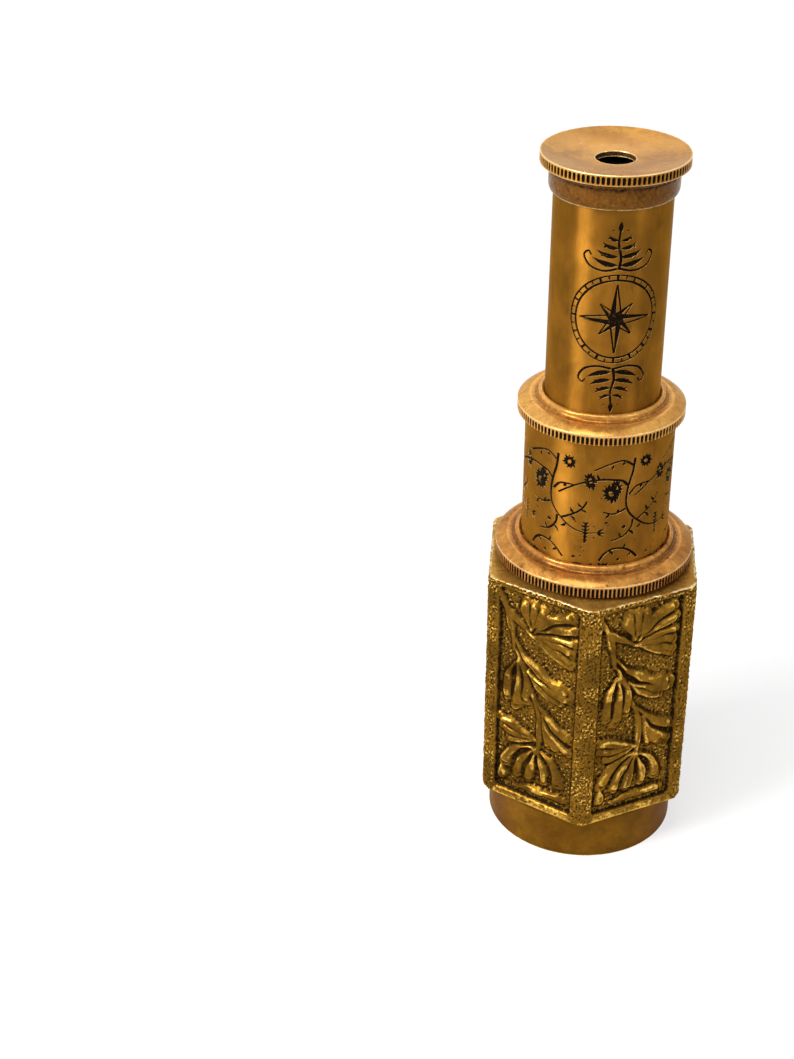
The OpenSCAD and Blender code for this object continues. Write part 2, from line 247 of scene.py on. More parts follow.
@dataclass(frozen=True)
class Brass(Finish):
    """Aged brass: patina in patches, soil and painted shade in the hollows, and bright metal on what gets rubbed and on
    painted highlights.

    The colours are screen values from 0 to 255, apart from the linear tint of what is seen edge on.
    """

    grain: Grain
    pale: Colour
    deep: Colour
    stain: Colour
    bright: Colour
    soil: Colour
    patch: float = 0.11
    mottle: float = 0.6
    stain_share: float = 0.5
    speck_share: float = 0.35
    smooth: float = 0.26
    rough: float = 0.42
    bump: float = 0.25
    metallic: float = 0.55
    brushed: float = 0.0
    edge: Colour = (0.9, 0.66, 0.38)

    def inputs(self, graph: Graph) -> dict[str, object]:
        """Builds the metal's colour, gloss and relief under its patina, stains, soil and painted shade, and wear and
        painted highlights.

        Args:
            graph: The material's graph.

        Returns:
            A value or a socket for each input that is set, by name.
        """
        screen = (self.pale, self.deep, self.stain, self.bright, self.soil)
        pale, deep, stain, bright, black = (srgb(*colour) for colour in screen)
        mm = graph.millimetres()
        drawn_out = (1.0, 1.0, 0.4)
        run = graph.scaled(mm, drawn_out) if self.grain is Grain.DRAWN else mm
        # The wear mark brings bright metal for wear and for painted highlights; the soil mark brings stain and black
        # for soil and for painted shade.
        wear, soil = (graph.add("ShaderNodeAttribute", out="Fac", attribute_name=mark) for mark in ("wear", "soil"))
        ragged = graph.math("SUBTRACT", graph.noise(run, 1.7, 6, 0.5), 0.5)
        grime_and_shade = graph.math("ADD", soil, graph.math("MULTIPLY", ragged, 0.8))
        rubbed = graph.math("ADD", wear, graph.math("MULTIPLY", ragged, 1.1))
        dirty_and_shaded = graph.ramp(grime_and_shade, 0.55, 0.95)
        worn_and_highlit = graph.ramp(rubbed, 0.36, 0.95, 0.0, 0.9)
        clouds = CLOUDS.noise(graph, run, self.patch)

        dim, lit = (1 - 0.4 * self.mottle,) * 3, (1 + 0.18 * self.mottle,) * 3
        shade = graph.blend(graph.ramp(clouds, CLOUDS.low, CLOUDS.high), dim, lit)
        stains_and_shade = graph.math(
            "MAXIMUM", STAINS.mask(graph, run, self.stain_share, self.patch), graph.ramp(grime_and_shade, 0.1, 0.6, 0.0, 0.85)
        )
        colour = graph.blend(PATINA.mask(graph, mm, 1.0, self.patch), deep, pale)
        colour = graph.blend(1.0, colour, shade, "MULTIPLY")
        colour = graph.blend(stains_and_shade, colour, stain)
        colour = graph.blend(graph.math("MAXIMUM", SPECKS.mask(graph, mm, self.speck_share), dirty_and_shaded), colour, black)
        gloss = graph.ramp(clouds, 0.3, 0.7, self.smooth, self.rough)
        brushing = {}
        if self.brushed > 0:
            outwards = graph.scaled(mm, (0.002, 0.002, 0.0))
            lengthwise = graph.add("ShaderNodeVectorMath", {0: outwards, 1: (0.0, 0.0, 1.0)}, operation="ADD")
            brushing = {"Anisotropic": self.brushed, "Tangent": lengthwise}
        return {
            "Base Color": graph.blend(worn_and_highlit, colour, bright),
            "Metallic": graph.math("MAXIMUM", graph.ramp(dirty_and_shaded, 0.0, 1.0, self.metallic, 0.1), worn_and_highlit),
            "Roughness": graph.math("ADD", gloss, graph.math("MULTIPLY", dirty_and_shaded, 0.35)),
            "Specular IOR Level": 0.12,
            "Specular Tint": (*self.edge, 1.0),
            "Normal": graph.bump(self.bump, 0.03, self.texture(graph, mm)),
            **brushing,
        }

    def texture(self, graph: Graph, mm: Socket) -> Socket:
        """Adds the height of the finish's grain.

        Args:
            graph: The material's graph.
            mm: The place on the piece in millimetres.

        Returns:
            The height.
        """
        if self.grain is Grain.CAST:
            return graph.noise(mm, 5.0, 4, 0.3)
        if self.grain is Grain.DRAWN:
            lines, fine, broad = graph.scaled(mm, (1.0, 1.0, 0.04)), 4.0, 1.3
        else:
            radius = graph.length(graph.scaled(mm, (1.0, 1.0, 0.0)))
            rings = graph.add("ShaderNodeCombineXYZ", {0: radius, 1: graph.add("ShaderNodeSeparateXYZ", {0: mm}, 2)})
            lines, fine, broad = graph.scaled(rings, (3.0, 3.0, 3.0)), 3.0, 1.1
        return graph.math("ADD", graph.noise(lines, fine), graph.math("MULTIPLY", graph.noise(mm, broad, 5), 0.8))


@dataclass(frozen=True)
class Ink(Finish):
    """Black filling of an engraved line, worn through in places, in screen values."""

    black: Colour
    bare: Colour

    def inputs(self, graph: Graph) -> dict[str, object]:
        """Builds the ink's colour, with the metal bare where it has chipped off.

        Args:
            graph: The material's graph.

        Returns:
            A value or a socket for each input that is set, by name.
        """
        mm = graph.millimetres()
        return {
            "Base Color": graph.blend(CHIPS.mask(graph, mm), srgb(*self.black), srgb(*self.bare)),
            "Roughness": graph.ramp(graph.noise(mm, 2.5), 0.3, 0.7, 0.5, 0.8),
            "Specular IOR Level": 0.03,
            "Normal": graph.bump(0.4, 0.04, graph.noise(mm, 4.0)),
        }


@dataclass(frozen=True)
class Glass(Finish):
    """Polished lens glass with a faint haze of dust, tinted in screen values."""

    tint: Colour
    haze: float = 0.14
    dusty: Colour = (0.97, 0.98, 0.98)

    def inputs(self, graph: Graph) -> dict[str, object]:
        """Builds the clear glass and the dust on it.

        Args:
            graph: The material's graph.

        Returns:
            A value or a socket for each input that is set, by name.
        """
        dust = DUST.mask(graph, graph.millimetres())
        return {
            "Base Color": graph.blend(dust, srgb(*self.tint), self.dusty),
            "Roughness": graph.math("MULTIPLY", dust, 0.12),
            "Transmission Weight": 1 - self.haze,
            "IOR": 1.52,
        }


@dataclass(frozen=True)
class Floor(Finish):
    """Matt floor that glows to the rays that show the backdrop, more so far away."""

    grey: float
    near_glow: float
    far_glow: float
    near: float
    far: float

    def inputs(self, graph: Graph) -> dict[str, object]:
        """Builds the floor's grey and its glow.

        Args:
            graph: The material's graph.

        Returns:
            A value or a socket for each input that is set, by name.
        """
        away = graph.length(graph.add("ShaderNodeTexCoord", out="Object"))
        glow = graph.ramp(away, self.near, self.far, self.near_glow, self.far_glow)
        return {
            "Base Color": (self.grey, self.grey, self.grey, 1.0),
            "Roughness": 0.9,
            "Specular IOR Level": 0.0,
            "Emission Color": WHITE,
            "Emission Strength": graph.math("MULTIPLY", graph.backdrop(), glow),
        }


CAST = Brass(
    "cast_brass", Grain.CAST, (142, 101, 32), (98, 68, 20), (54, 36, 10), (238, 188, 86), (18, 12, 4),
    patch=0.16, stain_share=0.35, speck_share=0.4, smooth=0.2, rough=0.38, bump=0.5, metallic=0.88,
)
PLATE = Brass(
    "plate_brass", Grain.TURNED, (188, 142, 66), (152, 108, 42), (96, 64, 26), (246, 222, 170), (36, 25, 11),
    patch=0.2, smooth=0.28,
)
FOOT = Brass(
    "foot_brass", Grain.TURNED, (134, 90, 22), (104, 68, 14), (70, 45, 11), (232, 196, 124), (24, 17, 7),
    patch=0.12, mottle=0.35, stain_share=0.3, smooth=0.34, rough=0.46, brushed=0.7, edge=(0.5, 0.36, 0.18),
)
COLLAR = Brass(
    "collar_brass", Grain.TURNED, (216, 160, 82), (188, 130, 58), (124, 72, 26), (246, 208, 146), (14, 9, 4),
    patch=0.13, mottle=0.4, speck_share=0.05, smooth=0.18, rough=0.3, bump=0.1, brushed=0.4, edge=(1.0, 0.84, 0.6),
)
COPPERY = Brass(
    "coppery_brass", Grain.TURNED, (208, 148, 72), (166, 108, 48), (88, 46, 18), (246, 206, 146), (14, 9, 4),
    patch=0.13, mottle=0.55, stain_share=0.7, speck_share=0.08, smooth=0.18, rough=0.3, bump=0.1, brushed=0.4,
    edge=(1.0, 0.82, 0.6),
)
CAP = Brass(
    "cap_brass", Grain.TURNED, (198, 142, 58), (166, 112, 42), (98, 56, 14), (246, 212, 150), (14, 9, 4),
    patch=0.1, mottle=0.4, stain_share=0.25, speck_share=0.05, smooth=0.22, rough=0.36, bump=0.1, brushed=0.6,
    edge=(1.0, 0.95, 0.86),
)
TUBE = Brass(
    "tube_brass", Grain.DRAWN, (160, 107, 34), (124, 82, 24), (78, 52, 17), (230, 184, 112), (28, 19, 8),
    patch=0.09, mottle=0.35, stain_share=0.35, speck_share=0.25, smooth=0.38, rough=0.46, bump=0.15, metallic=0.8,
    brushed=1.0,
)
INNER = Brass(
    "inner_brass", Grain.TURNED, (176, 138, 74), (140, 102, 46), (104, 72, 30), (240, 210, 150), (40, 28, 12),
    patch=0.2, stain_share=0.3, speck_share=0.2, metallic=0.9,
)
BLACKED = Brass(
    "black_brass", Grain.TURNED, (40, 38, 34), (28, 26, 24), (20, 18, 16), (120, 96, 60), (12, 11, 10),
    patch=0.3, speck_share=0.2, smooth=0.45, rough=0.65, metallic=0.3,
)
# Walls of the engraved lines: bare cut metal, paler than the tube, and a painted highlight along the lines.
CUT_METAL_AND_HIGHLIGHT = Brass(
    "cut_brass", Grain.CAST, (232, 188, 112), (206, 156, 84), (150, 100, 44), (250, 222, 164), (60, 42, 20),
    patch=0.3, stain_share=0.3, speck_share=0.1, smooth=0.3, rough=0.45, metallic=0.4,
)
FILL = Ink("black_fill", (22, 15, 8), (110, 76, 32))
LENS = Glass("lens_glass", (226, 240, 240))
HAZY_LENS = Glass("hazy_glass", (228, 230, 226), haze=0.6)
FLOOR = Floor("floor", grey=0.4, near_glow=0.665, far_glow=0.91, near=0.12, far=1.2)


# Meshes


def make_mesh(
    name: str, points: np.ndarray, faces: Sequence, marks: dict[str, np.ndarray] | None = None
) -> bpy.types.Mesh:
    """Makes a smooth mesh from points in millimetres.

    Args:
        name: The mesh's name.
        points: One row for each point.
        faces: Corner numbers of each face.
        marks: A value for each point, by attribute name.

    Returns:
        The mesh in metres.
    """
    mesh = bpy.data.meshes.new(name)
    mesh.from_pydata((points * MM).tolist(), [], faces if isinstance(faces, list) else faces.tolist())
    for key, values in (marks or {}).items():
        mesh.attributes.new(key, "FLOAT", "POINT").data.foreach_set("value", np.asarray(values, np.float32))
    mesh.shade_smooth()
    return mesh


def add_object(name: str, data: bpy.types.ID) -> bpy.types.Object:
    """Adds an object to the scene.

    Args:
        name: The object's name.
        data: Its mesh, lamp or camera.

    Returns:
        The object, at the origin.
    """
    obj = bpy.data.objects.new(name, data)
    bpy.context.scene.collection.objects.link(obj)
    return obj


def place_piece(obj: bpy.types.Object, body: Body, nodes: Iterable[str] = ()) -> None:
    """Hands a finished piece to the frame.

    Args:
        obj: The piece, at the origin.
        body: The body that it rides on.
        nodes: The CAD nodes that it stands for.
    """
    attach(obj, body.value)
    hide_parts(*nodes)
    log.info("%s rides on %s with %d faces", obj.name, body.value, len(obj.data.polygons))


def lattice_noise(points: np.ndarray, scale: float, seed: int) -> np.ndarray:
    """Smooth noise from a hashed lattice, the same in each run.

    Args:
        points: One row for each point.
        scale: Cells for each millimetre.
        seed: Chooses the noise.

    Returns:
        A value from 0 to 1 for each point.
    """
    place = points * scale + seed * 17.31
    cell = np.floor(place).astype(np.int64)
    t = place - cell
    t = t * t * (3 - 2 * t)
    total = np.zeros(len(points))
    for corner in range(8):
        step = np.array([corner & 1, corner >> 1 & 1, corner >> 2 & 1])
        key = ((cell + step) * np.array([73856093, 19349663, 83492791])).sum(1) + seed * 2654435761
        key = (key ^ (key >> 13)) * 1274126177 & 0x7FFFFFFF
        key = (key ^ (key >> 15)) * 668265263 & 0x7FFFFFFF
        weight = np.prod(np.where(step == 1, t, 1 - t), axis=1)
        total += weight * ((key >> 7) % 65536) / 65535
    return total


def smooth_step(value: np.ndarray, low: float, high: float) -> np.ndarray:
    """Returns a smooth rise from 0 at low to 1 at high."""
    t = np.clip((value - low) / (high - low), 0, 1)
    return t * t * (3 - 2 * t)


def softened(height: np.ndarray, rounds: int) -> np.ndarray:
    """Averages each height of a grid with its four neighbours.

    Args:
        height: The grid.
        rounds: How many times it is done.

    Returns:
        The softened grid.
    """
    for _ in range(rounds):
        padded = np.pad(height, 1, mode="edge")
        height = (padded[:-2, 1:-1] + padded[2:, 1:-1] + padded[1:-1, :-2] + padded[1:-1, 2:] + height) / 5
    return height


def bowed(root: Point, tip: Point, bow: float, shares: np.ndarray) -> np.ndarray:
    """Draws a run that bows to its left.

    Args:
        root: Where it starts.
        tip: Where it ends.
        bow: How far its middle stands aside.
        shares: Where on it the points lie, from 0 to 1.

    Returns:
        The points.
    """
    start, run = np.array(root, float), np.array(tip, float) - np.array(root, float)
    side = np.array([-run[1], run[0]]) / np.linalg.norm(run)
    return start + np.outer(shares, run) + np.outer(4 * shares * (1 - shares) * bow, side)


def arc(centre: Point, radius: float, start: float, end: float, steps: int) -> list[Corner]:
    """Returns points of a profile on an arc between two angles in degrees, none of them eased."""
    angles = [math.radians(start + (end - start) * i / steps) for i in range(steps + 1)]
    return [(centre[0] + radius * math.cos(a), centre[1] + radius * math.sin(a), 0.0) for a in angles]


def eased(corners: Sequence[Corner], spacing: float = 0.35) -> np.ndarray:
    """Rounds the corners of a closed profile and fills its long runs with points.

    Args:
        corners: Radius, height and easing of each corner, anticlockwise.
        spacing: The longest run that is left without a point.

    Returns:
        The points, with the first one repeated at the end.
    """
    rounded: list[np.ndarray] = []
    count = len(corners)
    for i, (x, z, ease) in enumerate(corners):
        here = np.array([x, z])
        before, after = (np.array(corners[(i + k) % count][:2]) for k in (-1, 1))
        back, ahead = before - here, after - here
        room = min(np.linalg.norm(back), np.linalg.norm(ahead)) * 0.49
        reach = min(ease, room)
        if reach < 1e-4:
            rounded.append(here)
            continue
        first = here + back / np.linalg.norm(back) * reach
        last = here + ahead / np.linalg.norm(ahead) * reach
        rounded += [(1 - t) ** 2 * first + 2 * t * (1 - t) * here + t * t * last for t in (0, 0.25, 0.5, 0.75, 1)]
    points = []
    for first, last in zip(rounded, rounded[1:] + rounded[:1]):
        steps = max(1, math.ceil(np.linalg.norm(last - first) / spacing))
        points += [first + (last - first) * k / steps for k in range(steps)]
    return np.array([*points, points[0]])


def edge_marks(profile: np.ndarray) -> tuple[np.ndarray, np.ndarray]:
    """Finds where a closed profile gets rubbed and where it holds soil.

    Args:
        profile: Its points, with the first one repeated at the end.

    Returns:
        Wear and soil at each point, from 0 to 1.
    """
    ring = profile[:-1]
    ahead = np.roll(ring, -1, 0) - ring
    length = np.linalg.norm(ahead, axis=1)
    heading = np.arctan2(ahead[:, 1], ahead[:, 0])
    turn = (heading - np.roll(heading, 1) + np.pi) % (2 * np.pi) - np.pi
    along = np.concatenate([[0], np.cumsum(length)[:-1]])
    gap = np.abs(along[:, None] - along[None, :])
    gap = np.minimum(gap, length.sum() - gap)
    wear = (np.exp(-((gap / 0.16) ** 2)) * np.maximum(turn, 0)).sum(1)
    soil = (np.exp(-((gap / 0.4) ** 2)) * np.maximum(-turn, 0)).sum(1)
    wear, soil = np.clip(wear * 0.62, 0, 1), np.clip(soil * 0.4, 0, 1)
    return np.append(wear, wear[0]), np.append(soil, soil[0])


# Geometry Nodes for what is turned and what repeats


def start_tree(name: str, shape: str, count: str) -> tuple[Graph, bpy.types.Node]:
    """Starts a geometry tree that repeats a shape round the axis.

    Args:
        name: The tree's name.
        shape: The label of the input that takes the shape's object.
        count: The label of the input that takes how many there are to a turn.

    Returns:
        The tree's graph and its input node.
    """
    tree = bpy.data.node_groups.new(name, "GeometryNodeTree")
    for label, kind in {shape: "Object", count: "Int", "Weld": "Float", "Finish": "Material"}.items():
        tree.interface.new_socket(name=label, in_out="INPUT", socket_type="NodeSocket" + kind)
    tree.interface.new_socket(name="Geometry", in_out="OUTPUT", socket_type="NodeSocketGeometry")
    return Graph(tree), tree.nodes.new("NodeGroupInput")


def end_tree(graph: Graph, shape: Socket, source: bpy.types.Node) -> bpy.types.NodeTree:
    """Welds, smooths and dresses a tree's result and joins it to the output.

    Args:
        graph: The tree's graph.
        shape: The geometry so far.
        source: The tree's input node, with Weld and Finish among its sockets.

    Returns:
        The tree.
    """
    shape = graph.add("GeometryNodeRealizeInstances", {"Geometry": shape})
    shape = graph.add("GeometryNodeMergeByDistance", {"Geometry": shape, "Distance": source.outputs["Weld"]})
    shape = graph.add("GeometryNodeSetShadeSmooth", {"Geometry": shape, "Shade Smooth": True})
    shape = graph.add("GeometryNodeSetMaterial", {"Geometry": shape, "Material": source.outputs["Finish"]})
    sink = graph.tree.nodes.new("NodeGroupOutput")
    graph.tree.links.new(shape, sink.inputs["Geometry"])
    return graph.tree


def grow(name: str, tree: bpy.types.NodeTree, values: dict[str, object], sharp: float = 38.0) -> bpy.types.Object:
    """Runs a geometry tree and keeps its result as a plain mesh.

    Args:
        name: The piece's name.
        tree: The tree.
        values: A value for each named input.
        sharp: The angle in degrees past which an edge stays sharp.

    Returns:
        The piece, with no modifier.
    """
    obj = add_object(name, bpy.data.meshes.new(name))
    modifier = obj.modifiers.new("shape", "NODES")
    modifier.node_group = tree
    for item in tree.interface.items_tree:
        if item.in_out == "INPUT":
            modifier[item.identifier] = values[item.name]
    graph = bpy.context.evaluated_depsgraph_get()
    mesh = bpy.data.meshes.new_from_object(obj.evaluated_get(graph), preserve_all_data_layers=True, depsgraph=graph)
    obj.modifiers.remove(modifier)
    mesh.name = name
    mesh.set_sharp_from_angle(angle=math.radians(sharp))
    obj.data = mesh
    return obj


@cache
def turning_tree() -> bpy.types.NodeTree:
    """Builds the tree that turns a closed half profile round the axis, once.

    Returns:
        The tree, whose inputs are Profile, Steps, Weld and Finish.
    """
    graph, source = start_tree("turning", "Profile", "Steps")
    profile = graph.add("GeometryNodeObjectInfo", {"Object": source.outputs["Profile"]}, "Geometry")
    rows = graph.add("GeometryNodeAttributeDomainSize", {0: profile}, "Point Count")
    columns = graph.math("ADD", source.outputs["Steps"], 1.0)
    grid = graph.add("GeometryNodeMeshGrid", {"Vertices X": columns, "Vertices Y": rows})
    index = graph.add("GeometryNodeInputIndex")
    column = graph.math("FLOOR", graph.math("DIVIDE", graph.math("ADD", index, 0.5), rows))
    row = graph.math("SUBTRACT", index, graph.math("MULTIPLY", column, rows))
    turn = graph.math("DIVIDE", graph.math("MULTIPLY", column, math.tau), source.outputs["Steps"])
    spot = {0: profile, 1: graph.add("GeometryNodeInputPosition"), 2: row}
    spot = graph.add("GeometryNodeSampleIndex", spot, data_type="FLOAT_VECTOR")
    spot = graph.add("ShaderNodeVectorRotate", {"Vector": spot, "Angle": turn}, rotation_type="Z_AXIS")
    shape = graph.add("GeometryNodeSetPosition", {"Geometry": grid, "Position": spot})
    for mark in ("wear", "soil"):
        value = graph.add("GeometryNodeInputNamedAttribute", {"Name": mark})
        value = graph.add("GeometryNodeSampleIndex", {0: profile, 1: value, 2: row})
        shape = graph.add("GeometryNodeStoreNamedAttribute", {"Geometry": shape, "Name": mark, "Value": value})
    return end_tree(graph, shape, source)


@cache
def milling_tree() -> bpy.types.NodeTree:
    """Builds the tree that sets a slice of a milled rim all round the axis, once.

    Returns:
        The tree, whose inputs are Slice, Count, Weld and Finish.
    """
    graph, source = start_tree("milling", "Slice", "Count")
    piece = graph.add("GeometryNodeObjectInfo", {"Object": source.outputs["Slice"]}, "Geometry")
    spots = graph.add("GeometryNodePoints", {"Count": source.outputs["Count"]})
    turn = graph.math("MULTIPLY", graph.add("GeometryNodeInputIndex"), math.tau)
    turn = graph.math("DIVIDE", turn, source.outputs["Count"])
    rotation = graph.add("ShaderNodeCombineXYZ", {2: turn})
    shape = graph.add("GeometryNodeInstanceOnPoints", {"Points": spots, "Instance": piece, "Rotation": rotation})
    return end_tree(graph, shape, source)


@dataclass
class Turning:
    """A ring-shaped piece turned from a closed half profile."""

    name: str
    corners: Sequence[Corner]
    finish: Finish
    steps: int = 256
    darkened_zones: Sequence[Zone] = ()
    rubbed: Sequence[Zone] = ()

    def build(self) -> bpy.types.Object:
        """Builds the piece.

        Returns:
            The piece, with wear and soil along its profile, and painted shade where its zones put it.
        """
        profile = eased(self.corners)
        wear, soil = edge_marks(profile)
        soil = self.marked(profile, soil, self.darkened_zones)
        wear = self.marked(profile, wear, self.rubbed)
        points = np.column_stack([profile[:, 0], np.zeros(len(profile)), profile[:, 1]])
        line = self.name + "_line"
        line = add_object(line, make_mesh(line, points, [], {"wear": wear, "soil": soil}))
        values = {"Profile": line, "Steps": self.steps, "Weld": WELD, "Finish": self.finish.material()}
        obj = grow(self.name, turning_tree(), values)
        bpy.data.objects.remove(line)
        return obj

    def marked(self, profile: np.ndarray, mark: np.ndarray, zones: Sequence[Zone]) -> np.ndarray:
        """Adds to a mark in zones of the profile.

        Args:
            profile: The profile's points.
            mark: The mark at each point.
            zones: Lowest and highest radius, lowest and highest height, and what is added between them.

        Returns:
            The new mark at each point.
        """
        r, z = profile[:, 0], profile[:, 1]
        for r_low, r_high, z_low, z_high, amount in zones:
            inside = (r > r_low) & (r < r_high) & (z > z_low) & (z < z_high)
            mark = np.where(inside, np.clip(mark + amount, 0, 1), mark)
        return mark


@dataclass
class Milling:
    """The milled outer skin of a rim, one slice of which is repeated round the axis."""

    name: str
    rim: float
    depth: float
    count: int
    low: float
    high: float
    slot_low: float
    slot_high: float
    finish: Finish
    open_below: bool = False
    wall: float = 0.25
    half_slot: float = 0.35
    half_root: float = 0.27
    slope: float = 0.06

    @property
    def pitch(self) -> float:
        """Returns the angle from one slot to the next."""
        return math.tau / self.count

    def arched(self, half: float, share: float) -> float:
        """Returns how far a slot's rounded end has drawn in, at a share of the pitch from its middle."""
        reach, across = half * self.pitch * self.rim, share * self.pitch * self.rim
        return reach - math.sqrt(max(0.0, reach * reach - across * across))

    def column(self, share: float) -> list[Point]:
        """Draws the slice's section at one column.

        Args:
            share: The column's distance from the slot's middle, in pitches.

        Returns:
            Height and depth under the rim at each point, up the outside and down the inside.
        """
        deep = self.depth if share <= self.half_root else 0.0
        outer, root = self.arched(self.half_slot, share), self.arched(self.half_root, share)
        back = self.rim - (self.rim - self.depth - self.wall)
        if self.open_below:
            foot = [(self.low, deep), (self.low, deep), (self.low + 0.02, deep)]
        else:
            foot = [(self.low, 0.0), (self.slot_low + outer, 0.0), (self.slot_low + self.slope + root, deep)]
        return [
            *foot, ((self.slot_low + self.slot_high) / 2, deep), (self.slot_high - self.slope - root, deep),
            (self.slot_high - outer, 0.0), (self.high, 0.0), (self.high, back), (self.low, back),
        ]

    def slice_mesh(self) -> bpy.types.Mesh:
        """Builds one slice, with its slot in the middle.

        Returns:
            The slice's mesh, open at its two sides.
        """
        rubbed, mid_root = 0.36, 0.13
        half = (0.5, self.half_slot, self.half_root, mid_root)
        shares = (*(-share for share in half), 0.0, *half[::-1])
        points, wear, soil = [], [], []
        for share in shares:
            for z, drop in self.column(abs(share)):
                angle, radius = share * self.pitch, self.rim - drop
                points.append((radius * math.cos(angle), radius * math.sin(angle), z))
                wear.append(rubbed if drop == 0.0 else 0.0)
                # Slot floors take the full soil mark, which paints them black: dirt and painted shade in the deep
                # grooves.
                soil.append(1.0 if drop > 0.1 else 0.0)
        loop = len(points) // len(shares)
        faces = [
            (c * loop + r, (c + 1) * loop + r, (c + 1) * loop + (r + 1) % loop, c * loop + (r + 1) % loop)
            for c in range(len(shares) - 1) for r in range(loop)
        ]
        marks = {"wear": np.array(wear), "soil": np.array(soil)}
        return make_mesh(self.name + "_slice", np.array(points), faces, marks)

    def build(self) -> bpy.types.Object:
        """Builds the whole rim.

        Returns:
            The rim as one closed piece.
        """
        part = add_object(self.name + "_slice", self.slice_mesh())
        values = {"Slice": part, "Count": self.count, "Weld": WELD, "Finish": self.finish.material()}
        obj = grow(self.name, milling_tree(), values, 50.0)
        bpy.data.objects.remove(part)
        return obj


# Engraving


def ray(angle: float) -> np.ndarray:
    """Returns the direction at an angle."""
    return np.array([math.cos(angle), math.sin(angle)])


def rays(sides: int, count: int) -> np.ndarray:
    """Returns the directions of the first corners of a polygon."""
    turn = np.arange(count) * math.tau / sides
    return np.column_stack([np.cos(turn), np.sin(turn)])


def spline(points: Sequence[Point], steps: int = 5) -> np.ndarray:
    """Draws a smooth line through points.

    Args:
        points: The points that it passes.
        steps: Runs between one point and the next.

    Returns:
        The line's points.
    """
    p = np.array([points[0], *points, points[-1]], float)
    made = []
    for a, b, c, d in zip(p, p[1:], p[2:], p[3:]):
        for t in np.arange(steps) / steps:
            twice = 2 * b + (c - a) * t + (2 * a - 5 * b + 4 * c - d) * t * t + (3 * b - a - 3 * c + d) * t**3
            made.append(0.5 * twice)
    return np.array([*made, p[-1]])


@dataclass
class Stencil:
    """Filled shapes on a tube's unrolled skin: u runs to the right and v up, in millimetres."""

    faces: list[np.ndarray] = field(default_factory=list)

    def band(self, left: np.ndarray, right: np.ndarray) -> None:
        """Adds the band between two lines."""
        for i in range(len(left) - 1):
            self.faces.append(np.array([right[i], right[i + 1], left[i + 1], left[i]]))

    def stroke(self, points: Sequence[Point], start: float, end: float, steps: int = 5) -> None:
        """Adds a smooth line that tapers.

        Args:
            points: The points that it passes.
            start: Its width at the first of them.
            end: Its width at the last of them.
            steps: Runs between one point and the next.
        """
        line = spline(points, steps)
        run = np.gradient(line, axis=0)
        side = np.column_stack([-run[:, 1], run[:, 0]]) / np.linalg.norm(run, axis=1)[:, None]
        half = np.linspace(start, end, len(line))[:, None] / 2
        self.band(line + side * half, line - side * half)

    def disc(self, centre: Point, radius: float, sides: int) -> None:
        """Adds a filled circle."""
        self.faces.append(np.array(centre) + radius * rays(sides, sides))

    def leaf(self, root: Point, tip: Point, width: float, bow: float = 0.0) -> None:
        """Adds a pointed leaf.

        Args:
            root: Where it starts.
            tip: Where it ends.
            width: Its greatest width.
            bow: How far its middle stands to the left of its run.
        """
        middle = bowed(root, tip, bow, np.array([0.0, 0.2, 0.45, 0.72, 1.0]))
        run = np.array(tip, float) - np.array(root, float)
        side = np.array([-run[1], run[0]]) / np.linalg.norm(run)
        half = np.array([0.12, 0.8, 1.0, 0.62, 0.04])[:, None] * width / 2
        self.band(middle + side * half, middle - side * half)

    def bloom(self, centre: Point, size: Point, petals: int, twist: float, source: random.Random) -> None:
        """Adds a ragged blossom: curved petals round a small bare middle.

        Args:
            centre: Its middle.
            size: Its half width and half height.
            petals: How many petals it has.
            twist: How far each petal's tip swings round, in radians.
            source: Gives each petal its own length.
        """

        def spot(share: float, angle: float) -> Point:
            """Returns the point at a share of the blossom's size."""
            return centre[0] + share * size[0] * math.cos(angle), centre[1] + share * size[1] * math.sin(angle)

        for i in range(petals):
            angle = math.tau * (i + source.uniform(-0.15, 0.15)) / petals
            tip = spot(source.uniform(0.8, 1.05), angle + twist)
            self.leaf(spot(0.22, angle), tip, 5.0 * min(size) / petals, 0.12 * size[0])
        for i in range(6):
            self.disc(spot(0.4, math.tau * i / 6 + 0.3), 0.22 * size[0], 6)

    def ring(self, centre: Point, radius: float, width: float, sides: int = 72) -> None:
        """Adds a thin closed ring.

        Args:
            centre: Its middle.
            radius: The radius of its middle line.
            width: How wide it is.
            sides: How many runs it has.
        """
        way = rays(sides, sides + 1)
        inner, outer = (np.array(centre) + way * (radius + side * width / 2) for side in (-1, 1))
        for i in range(sides):
            self.faces.append(np.array([inner[i], outer[i], outer[i + 1], inner[i + 1]]))

    def add(self, other: "Stencil", shift: Point) -> None:
        """Adds another stencil's shapes, moved."""
        self.faces += [face + np.array(shift) for face in other.faces]


